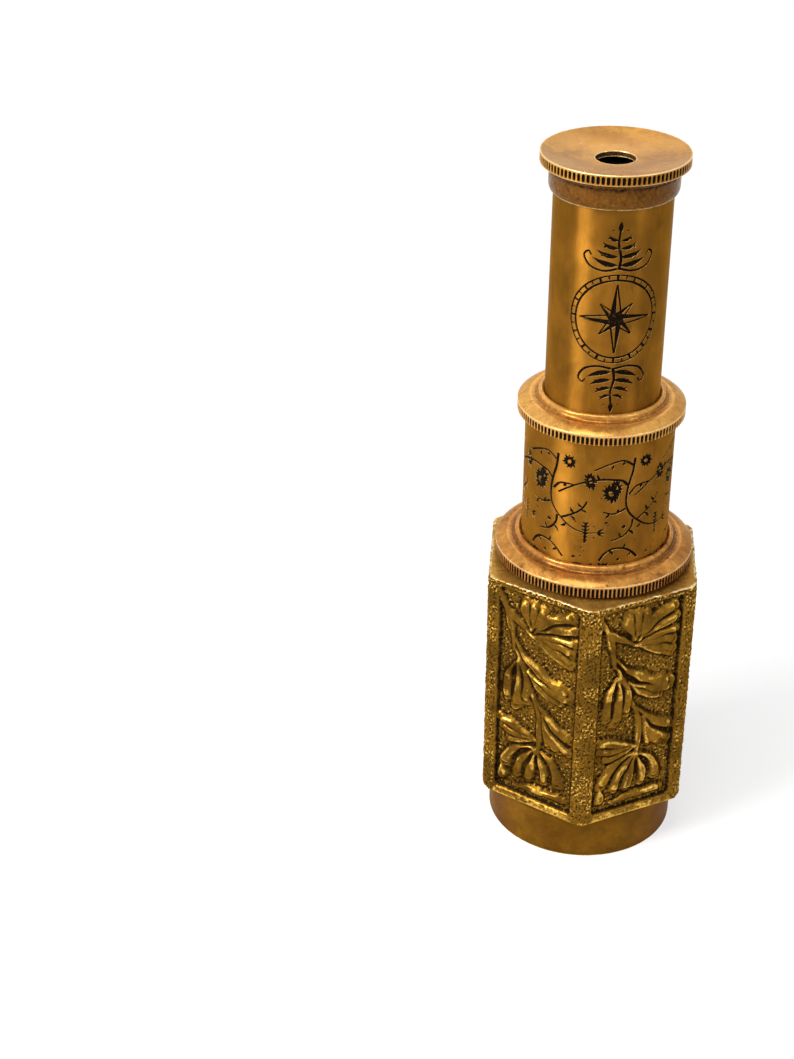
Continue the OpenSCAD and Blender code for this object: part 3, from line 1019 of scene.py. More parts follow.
@dataclass
class EngravedTube:
    """A drawn tube with shapes engraved into its skin and filled black."""

    name: str
    radius: float
    wall: float
    low: float
    high: float
    stencil: Stencil
    start: float
    finish: Finish
    fill: Finish
    cut_and_highlight: Finish
    depth: float = 0.2
    columns: int = 96
    row_step: float = 1.1
    seam: float = 1e-4

    def unrolled(self) -> tuple[np.ndarray, np.ndarray, np.ndarray]:
        """Cuts the flat skin along the stencil's edges.

        Returns:
            The skin's points, its triangles and whether each is filled.
        """
        around = math.tau * self.radius
        rows = max(2, round((self.high - self.low) / self.row_step))
        points, edges, faces = [], [], []
        for r in range(rows + 1):
            for c in range(self.columns + 1):
                points.append((around * c / self.columns, self.low + (self.high - self.low) * r / rows))
        wide = self.columns + 1
        for r in range(rows):
            edges += [(r * wide, (r + 1) * wide), ((r + 1) * wide - 1, (r + 2) * wide - 1)]
        edges += [(c, c + 1) for c in range(self.columns)]
        edges += [(rows * wide + c, rows * wide + c + 1) for c in range(self.columns)]
        for shape in self.stencil.faces:
            for shift in (-around, 0.0, around):
                moved = shape + np.array([shift, 0.0])
                if moved[:, 0].max() < -0.5 or moved[:, 0].min() > around + 0.5:
                    continue
                area = np.cross(moved, np.roll(moved, -1, 0)).sum()
                ring = moved if area > 0 else moved[::-1]
                faces.append(list(range(len(points), len(points) + len(ring))))
                points += [tuple(p) for p in ring]
        made = delaunay_2d_cdt([Vector(p) for p in points], edges, faces, 0, 1e-5)
        flat = np.array([(p[0], p[1]) for p in made[0]])
        triangles = np.array(made[2])
        filled = np.array([len(source) > 0 for source in made[5]])
        middle = flat[triangles].mean(1)
        keep = (middle[:, 0] > 0) & (middle[:, 0] < around) & (middle[:, 1] > self.low) & (middle[:, 1] < self.high)
        triangles, filled = triangles[keep], filled[keep]
        used = np.unique(triangles)
        left = used[np.abs(flat[used, 0]) < self.seam]
        right = used[np.abs(flat[used, 0] - around) < self.seam]
        same = np.arange(len(flat))
        if len(left) == len(right):
            same[right[np.argsort(flat[right, 1])]] = left[np.argsort(flat[left, 1])]
        else:
            log.warning("%s has a seam of %d and %d points", self.name, len(left), len(right))
        return flat, same[triangles], filled

    def build(self) -> bpy.types.Object:
        """Builds the tube as one closed piece.

        Returns:
            The piece.
        """
        flat, triangles, filled = self.unrolled()
        count = len(flat)
        turn = flat[:, 0] / self.radius + self.start
        way = np.column_stack([np.cos(turn), np.sin(turn), np.zeros(count)])
        rise = np.column_stack([np.zeros((count, 2)), flat[:, 1]])
        levels = (self.radius, self.radius - self.depth, self.radius - self.wall)
        points = np.vstack([way * level + rise for level in levels])
        faces = [tuple(t) for t in np.where(filled[:, None], triangles + count, triangles)]
        kinds = [int(f) for f in filled]
        owner = {(t[k], t[(k + 1) % 3]): bool(f) for t, f in zip(triangles.tolist(), filled) for k in range(3)}
        middle = (self.low + self.high) / 2
        ends: dict[int, list[tuple[int, int]]] = {0: [], 1: []}
        for (a, b), inked in owner.items():
            across = owner.get((b, a))
            if across is None:
                faces.append((b, a, a + 2 * count, b + 2 * count))
                kinds.append(0)
                ends[int(flat[a, 1] > middle)].append((a, b))
            elif inked and not across:
                faces.append((a, b, b + count, a + count))
                kinds.append(2)
        top = {round(float(turn[b]) % math.tau, 4): b for _, b in ends[1]}
        for a, b in ends[0]:
            up_a, up_b = (top[round(float(turn[k]) % math.tau, 4)] for k in (a, b))
            faces.append(tuple(k + 2 * count for k in (b, a, up_a, up_b)))
            kinds.append(0)
        used = np.unique(np.concatenate([np.array(f) for f in faces]))
        renumber = np.zeros(len(points), int)
        renumber[used] = np.arange(len(used))
        mesh = make_mesh(self.name, points[used], [tuple(renumber[list(f)].tolist()) for f in faces])
        for finish in (self.finish, self.fill, self.cut_and_highlight):
            mesh.materials.append(finish.material())
        mesh.polygons.foreach_set("material_index", kinds)
        mesh.set_sharp_from_angle(angle=math.radians(40))
        self.set_normals(mesh)
        return add_object(self.name, mesh)

    def set_normals(self, mesh: bpy.types.Mesh) -> None:
        """Gives the tube's round faces the normals of a true cylinder.

        Args:
            mesh: The tube's mesh, whose round faces are its triangles.
        """
        normals = []
        for face in mesh.polygons:
            facing = face.normal
            radial = abs(facing.z) < 0.3 and len(face.vertices) == 3
            for k in face.vertices:
                co = mesh.vertices[k].co
                normals.append(Vector((co.x, co.y, 0)).normalized() if radial else facing.copy())
        mesh.normals_split_custom_set(normals)


# Sub-assemblies


@dataclass
class MilledCollar:
    """Collar at a tube's mouth: skirt, milled rim, domed top, hollow and rolled lip."""

    name: str
    node: str
    body: Body
    rim: float
    bore: float
    skirt_r: float
    lip_r: float
    teeth: int
    seat: float
    knurl_h: float
    skirt_h: float
    finish: Finish = COLLAR
    groove: float = 0.34
    lip_rise: float = 1.95
    edge: float = 0.34
    shoulder: float = 0.1
    dome_in: float = 1.35
    dome_up: float = 0.85
    hollow_r: float = 0.65

    def corners(self) -> list[Corner]:
        """Draws the collar's profile, without its milled band.

        Returns:
            The profile's corners.
        """
        top = self.seat + self.knurl_h
        crest = top + self.lip_rise
        bead = (self.lip_r - self.bore) / 2
        dome_r, dome_z = self.lip_r + self.dome_in, top + self.dome_up
        rise = dome_z - (top - self.shoulder)
        core = self.rim - self.groove - 0.12
        low = self.seat - self.skirt_h
        return [
            (self.bore, low, 0.1), (self.skirt_r, low, 0.15), (self.skirt_r, self.seat, 0.0), (core, self.seat, 0.05),
            (core, top - self.edge, 0.0), (self.rim, top - self.edge, 0.02), (self.rim, top - self.shoulder, 0.1),
            *[(self.rim - (self.rim - dome_r) * t / 8, dome_z - rise * (1 - t / 8) ** 2, 0.0) for t in range(1, 9)],
            *arc((dome_r - 0.7, dome_z + 0.55), self.hollow_r, 290, 190, 8),
            *arc((self.lip_r - bead, crest - bead), bead, 0, 180, 14),
        ]

    def build(self) -> None:
        """Builds the collar and its milled band."""
        top = self.seat + self.knurl_h
        hollow = (self.lip_r - 0.2, self.lip_r + 1.5, top, top + 1.2, 0.1)
        core = Turning(self.name, self.corners(), self.finish, 288, [hollow]).build()
        place_piece(core, self.body, [self.node])
        band = Milling(
            self.name + "_milling", self.rim - 0.015, self.groove, self.teeth,
            self.seat + 0.02, top - 0.33, self.seat, top - 0.5, self.finish, open_below=True,
        ).build()
        place_piece(band, self.body)


# Noises of the casting: cells for each millimetre, and seed
GRIT, FINE, SLOW = (2.3, 3), (4.6, 5), (0.45, 9)
NICKS, RAGGED = (1.6, 21), (1.1, 31)
WARP_U, WARP_V = (0.5, 4), (0.5, 8)


@dataclass
class Casing:
    """Cast hexagonal casing with a leaf relief in each of its six panels.

    A leaf has its root, and the tip, bow and half width of each lobe. A stem has its ends and its bow.
    """

    across_flats: float = 38.1
    low: float = 9.6
    height: float = 48.2
    corner_r: float = 21.56
    corner_blunt: float = 0.25
    bore_r: float = 16.22
    boss_r: float = 16.5
    boss_h: float = 0.9
    top_round: float = 0.22
    low_round: float = 1.1
    bar_half: float = 1.15
    bar_proud: float = 0.6
    frame_w: float = 0.9
    panel_half: float = 8.5
    panel_low: float = 2.1
    panel_high: float = 47.1
    panel_depth: float = 1.0
    relief: float = 0.96
    warp: float = 0.8
    step: float = 0.16

    leaves: Sequence = (
        ((-1.4, 39.8), ((-2.7, 45.4, 0.7, 1.35), (-0.7, 45.3, 0.2, 1.25), (1.2, 44.8, -0.1, 1.2))),
        ((-0.7, 39.6), ((4.2, 44.5, 0.9, 1.2), (6.7, 45.2, 0.9, 1.3), (7.2, 42.7, 0.4, 1.15))),
        ((-1.4, 38.7), ((7.4, 39.9, 0.6, 1.0), (7.1, 37.8, 0.5, 1.1), (6.9, 35.8, 0.3, 1.1), (6.5, 34.5, 0.0, 0.8))),
        ((-5.8, 38.2), ((7.1, 28.8, -1.9, 1.4),)),
        ((-1.9, 30.6), ((7.0, 27.6, -0.6, 1.1), (4.9, 26.3, -0.9, 1.15))),
        ((-4.0, 32.6), ((-2.5, 24.0, 1.2, 1.3), (-4.3, 22.3, 0.2, 1.3), (-6.3, 23.6, -1.0, 1.1))),
        ((-0.4, 25.2), ((7.4, 18.9, -0.8, 1.25),)),
        ((1.2, 22.3), ((7.1, 15.7, -0.7, 1.2), (5.0, 15.6, -0.5, 1.15), (3.0, 15.7, 0.1, 0.8))),
        ((0.1, 15.9), ((-7.3, 18.3, -0.3, 1.2), (-6.9, 16.2, 0.0, 1.1), (-5.8, 14.4, 0.3, 1.0))),
        ((0.2, 14.0), (
            (-6.4, 8.4, -1.6, 1.35), (-3.7, 7.0, -0.7, 1.25), (-1.0, 6.6, -0.1, 1.15), (2.2, 7.0, 0.6, 1.2),
            (5.3, 7.6, 1.5, 1.35),
        )),
        ((-6.9, 8.0), ((-7.0, 4.9, 0.2, 1.3),)),
        ((-4.4, 3.9), ((1.5, 4.6, 0.4, 1.0), (6.6, 4.5, 0.3, 0.9))),
    )
    stems: Sequence = (
        ((-8.3, 46.0), (-5.2, 34.8), 0.5), ((-5.3, 35.2), (-0.1, 23.6), 0.4),
        ((-0.2, 24.2), (0.2, 12.9), 0.9), ((-8.1, 44.2), (-1.2, 38.7), -0.5),
    )

    def apart(self, u: np.ndarray, v: np.ndarray, line: np.ndarray, half: np.ndarray) -> np.ndarray:
        """Measures how far points lie outside a band that follows a line.

        Args:
            u: Place across of each point.
            v: Place up of each point.
            line: Points of the band's middle line.
            half: The band's half width at each of them.

        Returns:
            The distance at each point, below zero inside the band.
        """
        made = np.full_like(u, 9.0)
        margin = 2.4
        for a, b, wide, next_wide in zip(line, line[1:], half, half[1:]):
            run = b - a
            near = (
                (u > min(a[0], b[0]) - margin) & (u < max(a[0], b[0]) + margin)
                & (v > min(a[1], b[1]) - margin) & (v < max(a[1], b[1]) + margin)
            )
            pu, pv = u[near] - a[0], v[near] - a[1]
            t = np.clip((pu * run[0] + pv * run[1]) / max(1e-9, run @ run), 0, 1)
            gap = np.hypot(pu - t * run[0], pv - t * run[1]) - (wide + (next_wide - wide) * t)
            made[near] = np.minimum(made[near], gap)
        return made

    def leaf_height(self, u: np.ndarray, v: np.ndarray, root: Point, lobes: Sequence) -> np.ndarray:
        """Models one leaf: a body with a raised edge, and a rib along each lobe.

        Args:
            u: Place across of each point.
            v: Place up of each point.
            root: Where the lobes meet.
            lobes: The tip, bow and half width of each lobe.

        Returns:
            The leaf's height at each point.
        """
        t = np.linspace(0, 1, 13)
        grown = smooth_step(t, 0.0, 0.7)
        edge, ribs = np.zeros_like(u), np.zeros_like(u)
        for tip_u, tip_v, bow, wide in lobes:
            line = bowed(root, (tip_u, tip_v), bow, t)
            edge += np.exp(-4.0 * self.apart(u, v, line, 0.3 + (wide - 0.3) * grown))
            rib = 0.34 + 0.6 * (wide - 0.34) * grown
            inside = np.clip(-self.apart(u, v, line[:-1], rib[:-1]) / 0.75, 0, 1)
            ribs = np.maximum(ribs, (1 - (1 - inside) ** 2) ** 0.75)
        depth = np.log(edge + 1e-9) / 4.0 - 0.1
        fall = np.clip((depth + 0.1) / 0.6, 0, 1)
        body = 0.44 * (1 - (1 - fall) ** 2) ** 0.75 + 0.12 * np.exp(-(((depth - 0.38) / 0.22) ** 2))
        return self.relief * (body + 0.6 * ribs * smooth_step(depth, -0.1, 0.4))

    def relief_height(self, u: np.ndarray, v: np.ndarray) -> np.ndarray:
        """Models the cast leaves and stems, which run into each other.

        Args:
            u: Place across of each point.
            v: Place up of each point.

        Returns:
            Their height above the panel's ground at each point.
        """
        place = np.column_stack([u.ravel(), v.ravel(), np.zeros(u.size)])
        u = u + (lattice_noise(place, *WARP_U).reshape(u.shape) - 0.5) * self.warp
        v = v + (lattice_noise(place, *WARP_V).reshape(u.shape) - 0.5) * self.warp
        t = np.linspace(0, 1, 13)
        strand, aside, join = 0.45, 0.36, 5
        total = np.zeros_like(u)
        for start, end, bow in self.stems:
            line = bowed(start, end, bow, t)
            side = np.array([-(line[-1] - line[0])[1], (line[-1] - line[0])[0]])
            side /= np.linalg.norm(side)
            for shift in (-aside, aside):
                moved = line + side * shift * np.sin(math.pi * t)[:, None]
                inside = np.clip(-self.apart(u, v, moved, np.full(13, strand)) / strand, 0, 1)
                total += (0.62 * (1 - (1 - inside) ** 2) ** 0.6) ** join
        for root, lobes in self.leaves:
            total += self.leaf_height(u, v, root, lobes) ** join
        return softened(total ** (1 / join), 2)

    def build(self) -> None:
        """Builds the six sides, each a closed wedge from corner to corner."""
        for number in range(6):
            side = CastSide(self, number)
            points, wear, soil = side.closed()
            columns, rows = points.shape[:2]
            index = np.arange(columns * rows).reshape(columns, rows)
            after = np.roll(index, -1, 1)
            quads = np.stack([index[:-1], index[1:], after[1:], after[:-1]], -1)
            plate = np.zeros((columns - 1, rows), int)
            plate[:, side.v.shape[1] - 1:] = 1
            ends = [index[0].tolist(), index[-1][::-1].tolist()]
            marks = {"wear": wear.ravel(), "soil": soil.ravel()}
            faces = quads.reshape(-1, 4).tolist() + ends
            mesh = make_mesh(f"casing_side_{number + 1}", points.reshape(-1, 3), faces, marks)
            for finish in (CAST, PLATE):
                mesh.materials.append(finish.material())
            mesh.polygons.foreach_set("material_index", [*plate.ravel().tolist(), 0, 0])
            mesh.set_sharp_from_angle(angle=math.radians(75))
            place_piece(add_object(mesh.name, mesh), Body.BARREL, ["hex_casing"])


class CastSide:
    """One sixth of the casing, from corner to corner: a grid of columns and rows of points.

    Its maps hold a value for each point of the grid: how far it is inside the panel's border, and how much it
    belongs to the sunk panel, the bar at its foot, the bare ground, the top's rim and the corners.
    """

    def __init__(self, size: Casing, number: int) -> None:
        """Lays out the grid and the maps that the side's shape and its marks share.

        Args:
            size: The casing.
            number: Which of the six sides.
        """
        self.size = size
        apothem = size.across_flats / 2
        half = apothem * math.tan(math.radians(30))
        u_line = np.linspace(-half, half, round(2 * half / size.step) + 1)
        v_line = np.linspace(0.0, size.height - size.top_round, round(size.height / size.step) + 1)
        u, v = self.u, self.v = np.meshgrid(u_line, v_line, indexing="ij")
        flank = np.hypot(apothem, u)
        mix = np.clip(0.5 + 0.5 * (size.corner_r - flank) / size.corner_blunt, 0, 1)
        outline = size.corner_r + (flank - size.corner_r) * mix - size.corner_blunt * mix * (1 - mix)
        across = np.arctan2(u, apothem)
        self.base = np.stack([outline * np.cos(across), outline * np.sin(across)], -1)
        turn = math.radians(60 * number)
        self.spin = np.array([[math.cos(turn), math.sin(turn)], [-math.sin(turn), math.cos(turn)]])
        self.place = np.column_stack([(self.base.reshape(-1, 2) @ self.spin), (v + size.low).ravel()])

        self.slow = self.noise(SLOW)
        self.nicks = smooth_step(self.noise(NICKS), 0.62, 0.85)
        self.leaves = size.relief_height(u, v)
        self.bare = 1 - smooth_step(self.leaves, 0.05, 0.45)
        self.border = self.panel_border()
        self.sunk = smooth_step(self.border, -0.05, 0.45)
        self.bead = np.sqrt(np.clip(1 - ((v - size.bar_half) / size.bar_half) ** 2, 0, 1)) - 1
        self.bar = smooth_step(size.panel_half + size.frame_w - np.abs(u), 0.0, 1.3) * smooth_step(-v, -2.3, -2.0)
        self.rim = smooth_step(v, size.height - 1.0, size.height - 0.25)
        self.corner = smooth_step(np.abs(u), half - 0.9, half)
        self.lean = smooth_step(np.abs(u), 9.6, half)[..., None]

    def noise(self, kind: tuple[float, int]) -> np.ndarray:
        """Returns one of the casting's noises over the grid."""
        return lattice_noise(self.place, *kind).reshape(self.u.shape)

    def panel_border(self) -> np.ndarray:
        """Measures how far each point is inside the panel's border, whose corners are round.

        Returns:
            The distance, below zero outside the panel.
        """
        size, wide, v = self.size, np.abs(self.u), self.v
        border = np.minimum(size.panel_half - wide, np.minimum(v - size.panel_low, size.panel_high - v))
        radius = size.frame_w
        corner_u = np.maximum(wide - (size.panel_half - radius), 0)
        corner_v = np.maximum(np.maximum(size.panel_low + radius - v, v - size.panel_high + radius), 0)
        return np.where((corner_u > 0) & (corner_v > 0), radius - np.hypot(corner_u, corner_v), border)

    def heights(self) -> np.ndarray:
        """Models how far the casting stands out from a plain hexagon.

        Returns:
            The height at each point, always below zero.
        """
        size, v = self.size, self.v
        grit, fine = self.noise(GRIT), self.noise(FINE)
        ground = (grit - 0.5) * 0.28 + (fine - 0.5) * 0.16
        raised = self.leaves * (0.94 + 0.12 * self.slow) + (fine - 0.5) * 0.02
        inside = -size.panel_depth + raised + ground * self.bare
        post = (-0.3 * (1 - grit) - 0.2 * fine) * (1 - 0.85 * self.bar)
        outer = post + self.bead * size.bar_proud * self.bar
        low = size.low_round
        under = np.where(v < low, low - np.sqrt(np.clip(low**2 - (low - v) ** 2, 0, None)), 0)
        height = inside * self.sunk + outer * (1 - self.sunk) - under * (1 - self.sunk)
        return np.minimum(height - 0.14 * self.nicks * np.maximum(self.rim, self.corner), -0.005)

    def marks(self, height: np.ndarray) -> tuple[np.ndarray, np.ndarray]:
        """Finds where the casting is rubbed bright and painted with highlights, and where it holds soil and painted
        shade.

        Args:
            height: The height at each point.

        Returns:
            Wear with painted highlights, and soil with painted shade, at each point.
        """
        soft = softened(height, 5)
        broad = softened(soft, 10)
        proud, post, cast_leaf = (height - soft) / 0.045, 1 - self.sunk, 1 - self.bare
        lined = smooth_step(0.35 - np.abs(self.border), 0.0, 0.3)
        sparse = smooth_step(self.slow, 0.35, 0.65)
        # Raised grains are brightened: wear on the high points, and painted glints.
        grain_wear_and_glints = np.clip(proud * (0.46 + 0.3 * post), 0, 0.9) * (0.15 + 0.85 * self.bare)
        grain_wear_and_glints = grain_wear_and_glints * (1 - 0.75 * lined) * (1 - 0.6 * (1 - sparse) * post)
        # Painted highlights on the leaves' crests, partly also wear.
        crest = smooth_step(height - broad, 0.0, 0.14) * smooth_step(self.slow, 0.3, 0.6) * self.sunk
        handled = 0.3 * np.maximum(self.rim, self.corner * 0.8) * (0.3 + self.nicks)
        # The bar's crest at each panel's foot is brightened too, partly wear and partly a painted highlight.
        wear = grain_wear_and_glints + 0.6 * crest * cast_leaf + handled + 0.36 * self.bar * smooth_step(self.bead, -0.4, -0.02)
        # Painted shade: the valleys between the leaves and the gutter along the panel's border are darkened.
        valley_shade = smooth_step(broad - height, 0.02, 0.16) * cast_leaf * self.sunk
        gutter_shade = smooth_step(0.45 - np.abs(self.border), 0.0, 0.4) * (self.border > 0)
        soil = np.clip(-proud * (0.34 + 0.3 * post), 0, 0.75) + 0.2 * self.bare * self.sunk
        return np.clip(wear, 0, 1), np.clip(soil + 0.34 * valley_shade + 0.3 * gutter_shade, 0, 1)

    def closed(self) -> tuple[np.ndarray, np.ndarray, np.ndarray]:
        """Builds the side's points: the cast skin, then the machined top, the bore and the underside.

        Returns:
            Points in a grid of columns and rows, and wear and soil, with painted highlights and shade, at each.
        """
        size = self.size
        height = self.heights()
        facing = np.stack([np.ones_like(self.u), np.zeros_like(self.u)], -1)
        facing = facing * (1 - self.lean) + self.base / np.linalg.norm(self.base, axis=-1, keepdims=True) * self.lean
        facing /= np.linalg.norm(facing, axis=-1, keepdims=True)
        skin = self.base + facing * height[..., None]

        top, curve, edge = size.low + size.height, size.top_round, skin[:, -1]
        boss = top + size.boss_h
        way = self.base[:, 0] / np.linalg.norm(self.base[:, 0], axis=-1, keepdims=True)
        ragged = lattice_noise(np.column_stack([edge @ self.spin, np.full(len(edge), top)]), *RAGGED)
        rows = []
        for share in (0.35, 0.7, 1.0):
            a = share * math.pi / 2
            xy = edge - way * curve * (1 - math.cos(a))
            rows.append((xy, top - curve + curve * math.sin(a), 0.3 + 0.6 * ragged, 0.0))
        start, inner, bore = edge - way * curve, way * size.boss_r, way * size.bore_r
        # The ring of the top next to the boss, under the collar's rim, is painted dark as shade.
        for share in (0.05, 0.1, 0.18, 0.28, 0.4, 0.52, 0.64, 0.76, 0.87, 0.95, 1.0):
            rubbed = (0.55 if share < 0.06 else 0.25 if share < 0.12 else 0.1) * (0.4 + ragged)
            rows.append((start + (inner - start) * share, top, rubbed, 0.75 if share > 0.9 else 0.0))
        rows += [
            (inner, boss - 0.12, 0.5, 0.1), (way * (size.boss_r - 0.1), boss - 0.02, 0.8, 0.0),
            (way * (size.boss_r - 0.25), boss, 0.3, 0.0), (bore, boss, 0.0, 0.0), (bore, size.low, 0.0, 0.0),
            (skin[:, 0] * 0.5 + way * size.bore_r * 0.5, size.low, 0.0, 0.2),
        ]
        plain = np.zeros(len(edge))
        added = [np.stack([plain + row[part] for row in rows], 1) for part in (1, 2, 3)]
        wear, soil = self.marks(height)
        z, wear, soil = (np.concatenate(pair, 1) for pair in zip((self.v + size.low, wear, soil), added))
        xy = np.concatenate([skin, np.stack([row[0] for row in rows], 1)], 1)
        return np.concatenate([xy @ self.spin, z[..., None]], -1), np.clip(wear, 0, 1), soil


@dataclass
class Barrel:
    """Foot, casing and barrel collar, which stand still."""

    foot_r: float = 17.8
    foot_h: float = 9.6
    spigot_r: float = 15.28
    spigot_h: float = 2.8
    casing: Casing = field(default_factory=Casing)

    def build(self) -> None:
        """Builds the barrel's visible pieces."""
        spigot_top = self.foot_h + self.spigot_h
        corners = [
            (self.foot_r, 0.0, 0.3), (self.foot_r, self.foot_h, 0.3), (self.spigot_r, self.foot_h, 0.0),
            (self.spigot_r, spigot_top, 0.2), (14.2, spigot_top, 0.1), (14.2, 7.0, 0.0), (13.2, 7.0, 0.1),
            (13.2, 5.6, 0.1), (14.55, 5.6, 0.0), (14.55, 4.1, 0.0), (14.9, 4.1, 0.0), (14.9, 0.4, 0.05),
            (15.3, 0.0, 0.1),
        ]
        # Painted shadow on the band just under the casing, and a darker band just above the bottom edge.
        darkened_zones = [(17.0, 18.0, 0.3, 0.9, 0.3), (17.0, 18.0, 8.9, 9.7, 0.4)]
        rubbed = [(17.4, 18.0, -0.1, 0.28, 0.3)]
        foot = Turning("foot", corners, FOOT, 320, darkened_zones, rubbed).build()
        place_piece(foot, Body.BARREL, ["objective_cell"])
        self.casing.build()
        MilledCollar(
            "barrel_collar_ring", "barrel_collar", Body.BARREL, rim=18.06, bore=13.45, skirt_r=15.28, lip_r=14.57,
            teeth=148, seat=58.7, knurl_h=2.3, skirt_h=4.7, finish=COPPERY,
        ).build()


@dataclass
class VineTube:
    """Middle draw's tube, etched all round with a vine scroll.

    A point of the scroll is a share of a repeat across and millimetres down from the main stem's head. A stem
    has its points and the width at its ends, a leaf its root, tip, width and bow, and a blossom its middle,
    half width, half height and number of petals.
    """

    radius: float = 13.38
    wall: float = 0.6
    low: float = 37.1
    high: float = 87.4
    top: float = 83.9
    row: float = 20.6
    repeats: int = 6
    head: float = 0.31
    aside: float = 7.25
    stems: Sequence = (
        ((
            (0, 0), (-0.02, 2.6), (-0.07, 5.3), (-0.09, 7.6), (-0.08, 9.5), (-0.025, 11.1), (0.08, 12.6), (0.22, 14.0),
            (0.38, 14.7), (0.56, 14.6),
        ), 0.58, 0.3),
        ((
            (-0.08, 5.3), (-0.15, 4.3), (-0.26, 4.0), (-0.40, 3.9), (-0.58, 4.4), (-0.78, 5.7), (-0.98, 7.6),
        ), 0.58, 0.38),
        (((-0.02, 1.4), (-0.16, 0.3), (-0.33, 0.9), (-0.52, 2.2)), 0.48, 0.36),
        (((-0.055, 7.2), (0.03, 5.8), (0.13, 5.5), (0.24, 5.5)), 0.5, 0.36),
        (((-0.09, 9.9), (-0.24, 10.8), (-0.38, 10.4)), 0.5, 0.36),
        (((0.02, 12.2), (0.0, 13.9), (-0.10, 15.5), (-0.26, 16.3)), 0.52, 0.36),
        (((0.08, 12.5), (0.28, 10.9), (0.37, 9.6), (0.41, 8.4)), 0.5, 0.34),
        (((-0.40, 20.4), (-0.34, 19.0), (-0.24, 18.0), (-0.10, 18.0), (0.02, 18.9), (0.12, 20.4)), 0.52, 0.46),
    )
    berries: Sequence = (
        (-0.15, 0.9, 0.34), (0.11, 5.9, 0.36), (-0.10, 13.6, 0.42), (-0.15, 20.2, 0.34), (0.27, 19.9, 0.34),
        (0.52, 13.4, 0.2), (0.52, 15.6, 0.2), (0.36, 19.6, 0.22), (-0.33, 12.6, 0.3),
    )
    leaves: Sequence = (
        ((0.2, 11.7), (0.28, 13.0), 0.55, 0.2), ((0.26, 11.2), (0.20, 9.9), 0.6, 0.2),
        ((0.34, 10.2), (0.42, 10.9), 0.5, 0.15), ((0.36, 9.8), (0.29, 8.8), 0.5, 0.15),
        ((-0.20, 10.7), (-0.16, 9.7), 0.5, 0.1), ((-0.30, 10.7), (-0.36, 11.8), 0.5, 0.1),
        ((-0.03, 14.5), (0.05, 15.7), 0.55, 0.2), ((-0.13, 15.7), (-0.16, 14.5), 0.5, 0.1),
        ((0.15, 13.4), (0.06, 14.2), 0.6, 0.25), ((0.56, 14.6), (0.66, 13.7), 0.5, 0.1),
        ((0.56, 14.6), (0.68, 14.7), 0.5, 0.0), ((0.56, 14.6), (0.65, 15.5), 0.5, -0.1),
        ((-0.44, 4.0), (-0.48, 2.8), 0.5, 0.1), ((-0.62, 4.6), (-0.58, 5.8), 0.5, 0.1),
        ((-0.08, 18.1), (-0.05, 16.9), 0.5, 0.1), ((-0.28, 18.3), (-0.22, 19.4), 0.6, 0.2),
        ((0.03, 19.0), (-0.04, 19.8), 0.5, 0.1), ((-0.28, 1.0), (-0.31, 2.0), 0.5, 0.1),
    )
    blooms: Sequence = (
        (-0.29, 6.7, 1.95, 2.3, 13), (0.16, 1.1, 1.6, 1.5, 11), (0.44, 4.3, 1.45, 2.1, 12), (0.77, 5.7, 1.45, 2.1, 12),
    )
    seeds: Sequence = (
        (0.62, 5.2), (0.60, 6.1), (0.63, 6.9), (0.59, 7.7), (0.66, 12.5), (0.69, 13.0), (0.60, 3.7), (0.36, 17.8),
        (0.40, 18.5),
    )

    def at(self, *points: Point) -> list[Point]:
        """Returns points of the scroll in millimetres across and up."""
        width = math.tau * self.radius / self.repeats
        return [(x * width, -y) for x, y in points]

    def vine(self, seed: int) -> Stencil:
        """Draws one length of the scroll.

        Args:
            seed: Chooses the blossoms' ragged edges.

        Returns:
            Its shapes, with the main stem's head at the origin.
        """
        source = random.Random(seed)
        made = Stencil()
        for points, start, end in self.stems:
            made.stroke(self.at(*points), start, end)
        for x, y, radius in self.berries:
            made.disc(self.at((x, y))[0], radius, 8)
        for root, tip, width, bow in self.leaves:
            made.leaf(*self.at(root, tip), width, bow)
        for x, y, across, up, petals in self.blooms:
            made.bloom(self.at((x, y))[0], (across, up), petals, 0.35, source)
        stalk = 0.41
        for i in range(6):
            y = 12.9 + i * 0.7
            for way in (-1, 1):
                tip = (stalk + way * (0.045 + 0.02 * math.sin(i * 1.1)), y - 0.35)
                made.leaf(*self.at((stalk, y + 0.1), tip), 0.42)
        made.stroke(self.at((stalk, 12.6), (0.405, 16.9)), 0.5, 0.36)
        for seed_at in self.at(*self.seeds):
            made.disc(seed_at, 0.19, 6)
        return made

    def build(self) -> None:
        """Builds the middle draw's tube."""
        stencil = Stencil()
        width = math.tau * self.radius / self.repeats
        for k in range(self.repeats):
            for down in range(2):
                head = (width * (k + self.head + 0.5 * down), self.top - self.row * down - 0.3 * down)
                stencil.add(self.vine(7 * k + down), head)
        start = FRONT - (self.aside + width * (2 + self.head)) / self.radius
        tube = EngravedTube(
            "mid_tube_skin", self.radius, self.wall, self.low, self.high, stencil, start, TUBE, FILL, CUT_METAL_AND_HIGHLIGHT, columns=108,
        )
        place_piece(tube.build(), Body.MID_DRAW, ["mid_tube"])


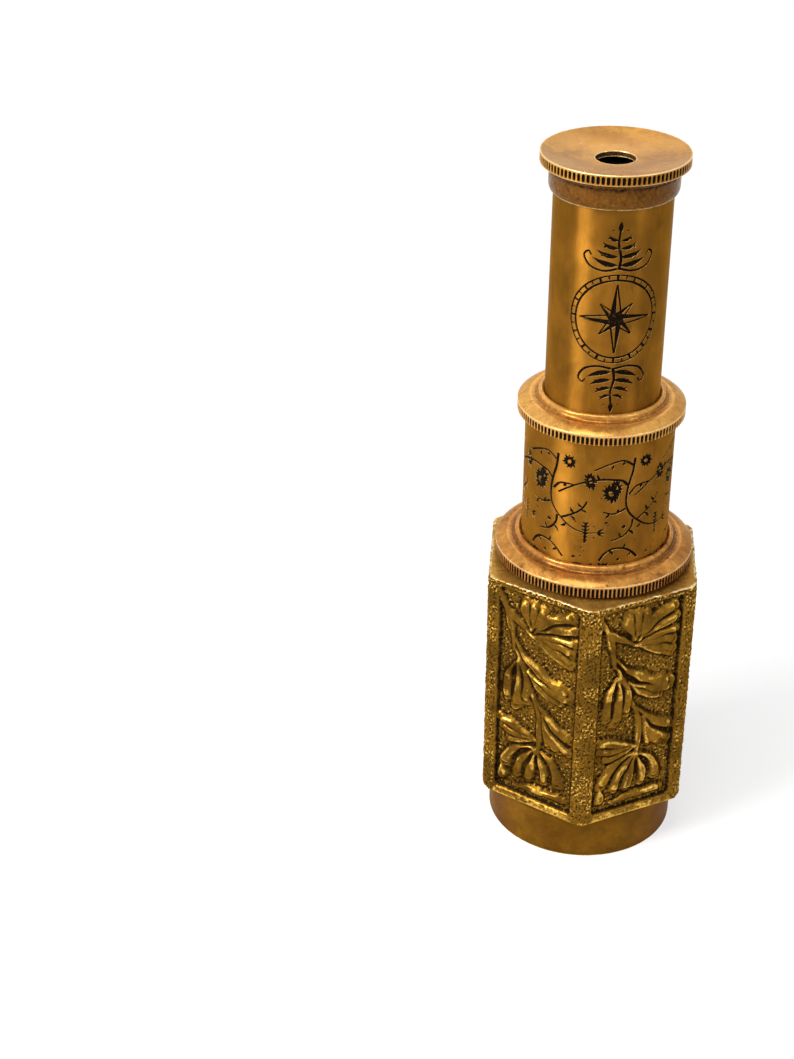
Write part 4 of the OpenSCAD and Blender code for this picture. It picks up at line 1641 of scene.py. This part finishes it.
@dataclass
class RoseTube:
    """Eye draw's tube, engraved with a compass rose between two sprigs."""

    radius: float = 10.19
    wall: float = 0.6
    low: float = 74.5
    high: float = 131.38
    middle: float = 108.9
    aside: float = 1.6
    rose_r: float = 6.3
    ring_in: float = 1.12
    tick_in: float = 1.16
    ring_out: float = 1.27
    sprig_at: float = 8.9

    def rose(self) -> Stencil:
        """Draws the compass rose with its rings and ticks.

        Returns:
            Its shapes, round the origin.
        """
        made = Stencil()
        eighth = math.pi / 4
        for reach, width, turned in ((0.62, 0.17, eighth), (1.0, 0.2, 0.0)):
            for k in range(4):
                angle = math.tau * k / 4 + turned
                tip = self.rose_r * reach * ray(angle)
                left, right = (self.rose_r * width * ray(angle + side) for side in (eighth, -eighth))
                made.faces.append(np.array([[0, 0], tip, left]))
                made.stroke([right, tip], 0.34, 0.3, 1)
                made.stroke([tip, left], 0.34, 0.3, 1)
        made.ring((0, 0), self.rose_r * self.ring_in, 0.42)
        made.ring((0, 0), self.rose_r * self.ring_out, 0.32)
        for k in range(0, 64, 2):
            way = ray(math.tau * k / 64) * self.rose_r
            inner, width = (self.ring_in, 0.46) if k % 4 == 0 else (self.tick_in, 0.3)
            made.stroke([way * inner, way * self.ring_out], width, width, 1)
        return made

    def sprig(self, up: int) -> Stencil:
        """Draws a sprig of paired leaves over two curled tendrils.

        Args:
            up: 1 where it grows up, and -1 where it grows down.

        Returns:
            Its shapes, with its root at the origin.
        """
        made = Stencil()
        made.stroke([(0, 0), (0.3, up * 2.2), (-0.2, up * 4.6), (0, up * 7.0)], 0.6, 0.36)
        for i, (rise, reach) in enumerate(((0.8, 4.6), (2.3, 4.0), (3.8, 3.0), (5.2, 2.0))):
            for way in (-1, 1):
                tip = (way * reach, up * (rise + 1.3 - 0.1 * i))
                made.leaf((way * 0.15, up * rise), tip, 1.05 - 0.12 * i, -0.35 * way * up)
                made.disc((way * (reach * 0.62), up * (rise + 1.75)), 0.26 - 0.03 * i, 8)
        made.leaf((0, up * 6.6), (0, up * 8.6), 0.9)
        tendril = ((0.3, 0.2), (2.6, -0.2), (4.9, 0.5), (6.0, 2.2), (5.3, 3.1), (4.7, 2.4))
        for way in (-1, 1):
            made.stroke([(way * x, up * y) for x, y in tendril], 0.5, 0.34)
        return made

    def build(self) -> None:
        """Builds the eye draw's tube."""
        stencil = Stencil()
        centre = math.tau * self.radius / 2
        stencil.add(self.rose(), (centre, self.middle))
        for up in (1, -1):
            stencil.add(self.sprig(up), (centre, self.middle + up * self.sprig_at))
        start = FRONT + self.aside / self.radius - centre / self.radius
        tube = EngravedTube(
            "eye_tube_skin", self.radius, self.wall, self.low, self.high, stencil, start, TUBE, FILL, CUT_METAL_AND_HIGHLIGHT,
        )
        place_piece(tube.build(), Body.EYE_DRAW, ["eye_tube"])


@dataclass
class Eyecap:
    """Cap of the eye draw: band, milled rim and dished top with the eye hole."""

    seat: float = 128.3
    rim: float = 12.64
    rim_at: float = 4.8
    height: float = 6.7
    band_r: float = 11.06
    band_round: Point = (0.65, 1.4)
    neck: float = 1.15
    neck_at: float = 3.5
    hole_r: float = 3.37
    tube_r: float = 10.19
    tube_in: float = 3.1
    inner_r: float = 9.59
    web_at: float = 4.4
    dish: float = 1.34
    teeth: int = 94
    groove: float = 0.34

    def dish_height(self, r: float) -> float:
        """Returns the height of the dished top at a radius."""
        share = (r * r - self.hole_r**2) / ((self.rim - 0.22)**2 - self.hole_r**2)
        return self.seat + self.height - self.dish * (1 - share)

    def corners(self) -> list[Corner]:
        """Draws the cap's profile, without its milled band.

        Returns:
            The profile's corners.
        """
        seat, rim, knurl, top = self.seat, self.rim, self.seat + self.rim_at, self.seat + self.height
        root, web, tube = rim - self.groove - 0.12, seat + self.web_at, self.tube_r + 0.02
        angles = [math.radians(a) for a in range(0, 91, 10)]
        in_r, in_z = self.band_round
        return [
            (tube, seat, 0.02), (self.tube_r + 0.25, seat, 0.0),
            *[(self.band_r - in_r * (1 - math.sin(a)), seat + in_z - in_z * math.cos(a), 0.0) for a in angles],
            *arc((self.band_r + self.neck, seat + self.neck_at), self.neck, 180, 115, 8),
            (rim - 0.1, knurl, 0.03), (rim, knurl + 0.1, 0.02), (rim, knurl + 0.12, 0.0), (root, knurl + 0.12, 0.0),
            (root, top - 0.17, 0.0), (rim, top - 0.17, 0.0), (rim, top - 0.06, 0.06), (rim - 0.1, top, 0.06),
            *[(r, self.dish_height(r), 0.0) for r in np.linspace(rim - 0.22, self.hole_r + 0.25, 26)],
            (self.hole_r + 0.05, self.dish_height(self.hole_r) + 0.04, 0.06),
            (self.hole_r, self.dish_height(self.hole_r) - 0.12, 0.05), (self.hole_r, web, 0.05),
            (self.inner_r, web, 0.1), (self.inner_r, seat + self.tube_in, 0.0), (tube, seat + self.tube_in, 0.0),
        ]

    def build(self) -> None:
        """Builds the cap and its milled band."""
        seat, knurl, top = self.seat, self.seat + self.rim_at, self.seat + self.height
        # Painted shade: the band under the rim, the rim's underside and the eye hole's wall are darkened.
        darkened_zones = [
            (10.2, 11.4, seat + 0.5, seat + 3.9, 0.6), (11.0, 12.5, seat + 3.9, seat + 4.85, 0.4),
            (3.3, 3.5, seat + 4.3, seat + 5.3, 0.8),
        ]
        rubbed = [(10.2, 10.9, seat, seat + 0.3, 0.5)]
        cap = Turning("eyecap_body", self.corners(), CAP, 320, darkened_zones, rubbed).build()
        place_piece(cap, Body.EYE_DRAW, ["eyecap"])
        band = Milling(
            "eyecap_milling", self.rim - 0.01, self.groove, self.teeth,
            knurl + 0.11, top - 0.16, knurl + 0.2, top - 0.3, CAP,
        ).build()
        place_piece(band, Body.EYE_DRAW)


@dataclass
class InnerWorks:
    """CAD nodes inside the tubes, which keep their shapes and get their finishes here."""

    glass: Sequence[str] = ("objective_lens", "eye_lens", "field_lens", "erector_front_lens", "erector_rear_lens")
    clean: Sequence[str] = ("barrel_tube", "mid_friction_ring", "mid_guide_ring", "eye_friction_ring", "eye_guide_ring")

    def dress(self) -> None:
        """Puts a finish on every CAD node that still shows."""
        for name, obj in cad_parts.items():
            if obj.hide_render:
                continue
            finish = LENS if name in self.glass else INNER if name in self.clean else BLACKED
            finish = HAZY_LENS if name == "eye_lens" else finish
            obj.data.materials.clear()
            obj.data.materials.append(finish.material())
            log.info("%s keeps its CAD shape in %s", name, finish.name)


# Studio


@dataclass
class Lamp:
    """A soft rectangular lamp aimed at the part's middle."""

    name: str
    place: tuple[float, float, float]
    width: float
    power: float
    height: float

    def build(self) -> None:
        """Builds the lamp."""
        light = bpy.data.lights.new(self.name, "AREA")
        light.shape, light.energy = "RECTANGLE", self.power
        light.size, light.size_y = self.width, self.height
        obj = add_object(self.name, light)
        obj.location = self.place
        obj.rotation_euler = (Vector((0, 0, 0.06)) - obj.location).to_track_quat("-Z", "Y").to_euler()


@dataclass
class Studio:
    """Pale floor, white surroundings, soft lamps and the photograph's camera."""

    lens: float = 66.19
    camera_place: tuple[float, float, float] = (-0.0085, -0.3126, 0.2423)
    camera_turn: tuple[float, float, float] = (59.91, 0.0, 5.11)
    floor_size: float = 4.0
    ambient: float = 0.25
    lamps: Sequence[Lamp] = (
        Lamp("key", (-0.60, -0.42, 0.52), 0.34, 7.6, 0.5),
        Lamp("top", (-0.15, -0.30, 0.95), 0.5, 4.6, 0.5),
        Lamp("side", (0.62, -0.42, 0.48), 0.2, 0.7, 0.3),
        Lamp("back", (0.02, 0.85, 0.62), 0.2, 0.25, 0.2),
    )

    def build_world(self) -> None:
        """Builds the surroundings: white to what shows them, and grey as light."""
        world = bpy.data.worlds.new("studio")
        bpy.context.scene.world = world
        world.use_nodes = True
        graph = Graph(world.node_tree)
        strength = graph.ramp(graph.backdrop(), 0.0, 1.0, self.ambient, 1.0)
        graph.feed(world.node_tree.nodes["Background"], {"Color": WHITE, "Strength": strength})

    def build_floor(self) -> None:
        """Builds the floor, which keeps the part's shadow."""
        half = self.floor_size / MM / 2
        points = np.array([(-half, -half, 0), (half, -half, 0), (half, half, 0), (-half, half, 0)], float)
        mesh = make_mesh("floor", points, [(0, 1, 2, 3)])
        mesh.materials.append(FLOOR.material())
        add_object("floor", mesh)

    def build_camera(self) -> None:
        """Builds the camera at the photograph's viewing angle."""
        camera = bpy.data.cameras.new("camera")
        camera.lens, camera.sensor_width = self.lens, 36.0
        camera.clip_start, camera.clip_end = 0.01, 20.0
        obj = add_object("camera", camera)
        obj.location = self.camera_place
        obj.rotation_euler = tuple(math.radians(a) for a in self.camera_turn)
        bpy.context.scene.camera = obj

    def build(self) -> None:
        """Builds the whole studio."""
        bpy.context.scene.view_settings.view_transform = "Standard"
        self.build_camera()
        self.build_world()
        self.build_floor()
        for lamp in self.lamps:
            lamp.build()


def main() -> None:
    """Builds the studio and the spyglass, in order."""
    logging.basicConfig(level=logging.INFO, format="%(message)s")
    Studio().build()
    Barrel().build()
    MilledCollar(
        "mid_collar_ring", "mid_collar", Body.MID_DRAW, rim=14.9, bore=10.26, skirt_r=12.76, lip_r=11.3,
        teeth=116, seat=87.4, knurl_h=2.0, skirt_h=3.9,
    ).build()
    VineTube().build()
    RoseTube().build()
    Eyecap().build()
    InnerWorks().dress()


if __name__ == "__main__":
    main()
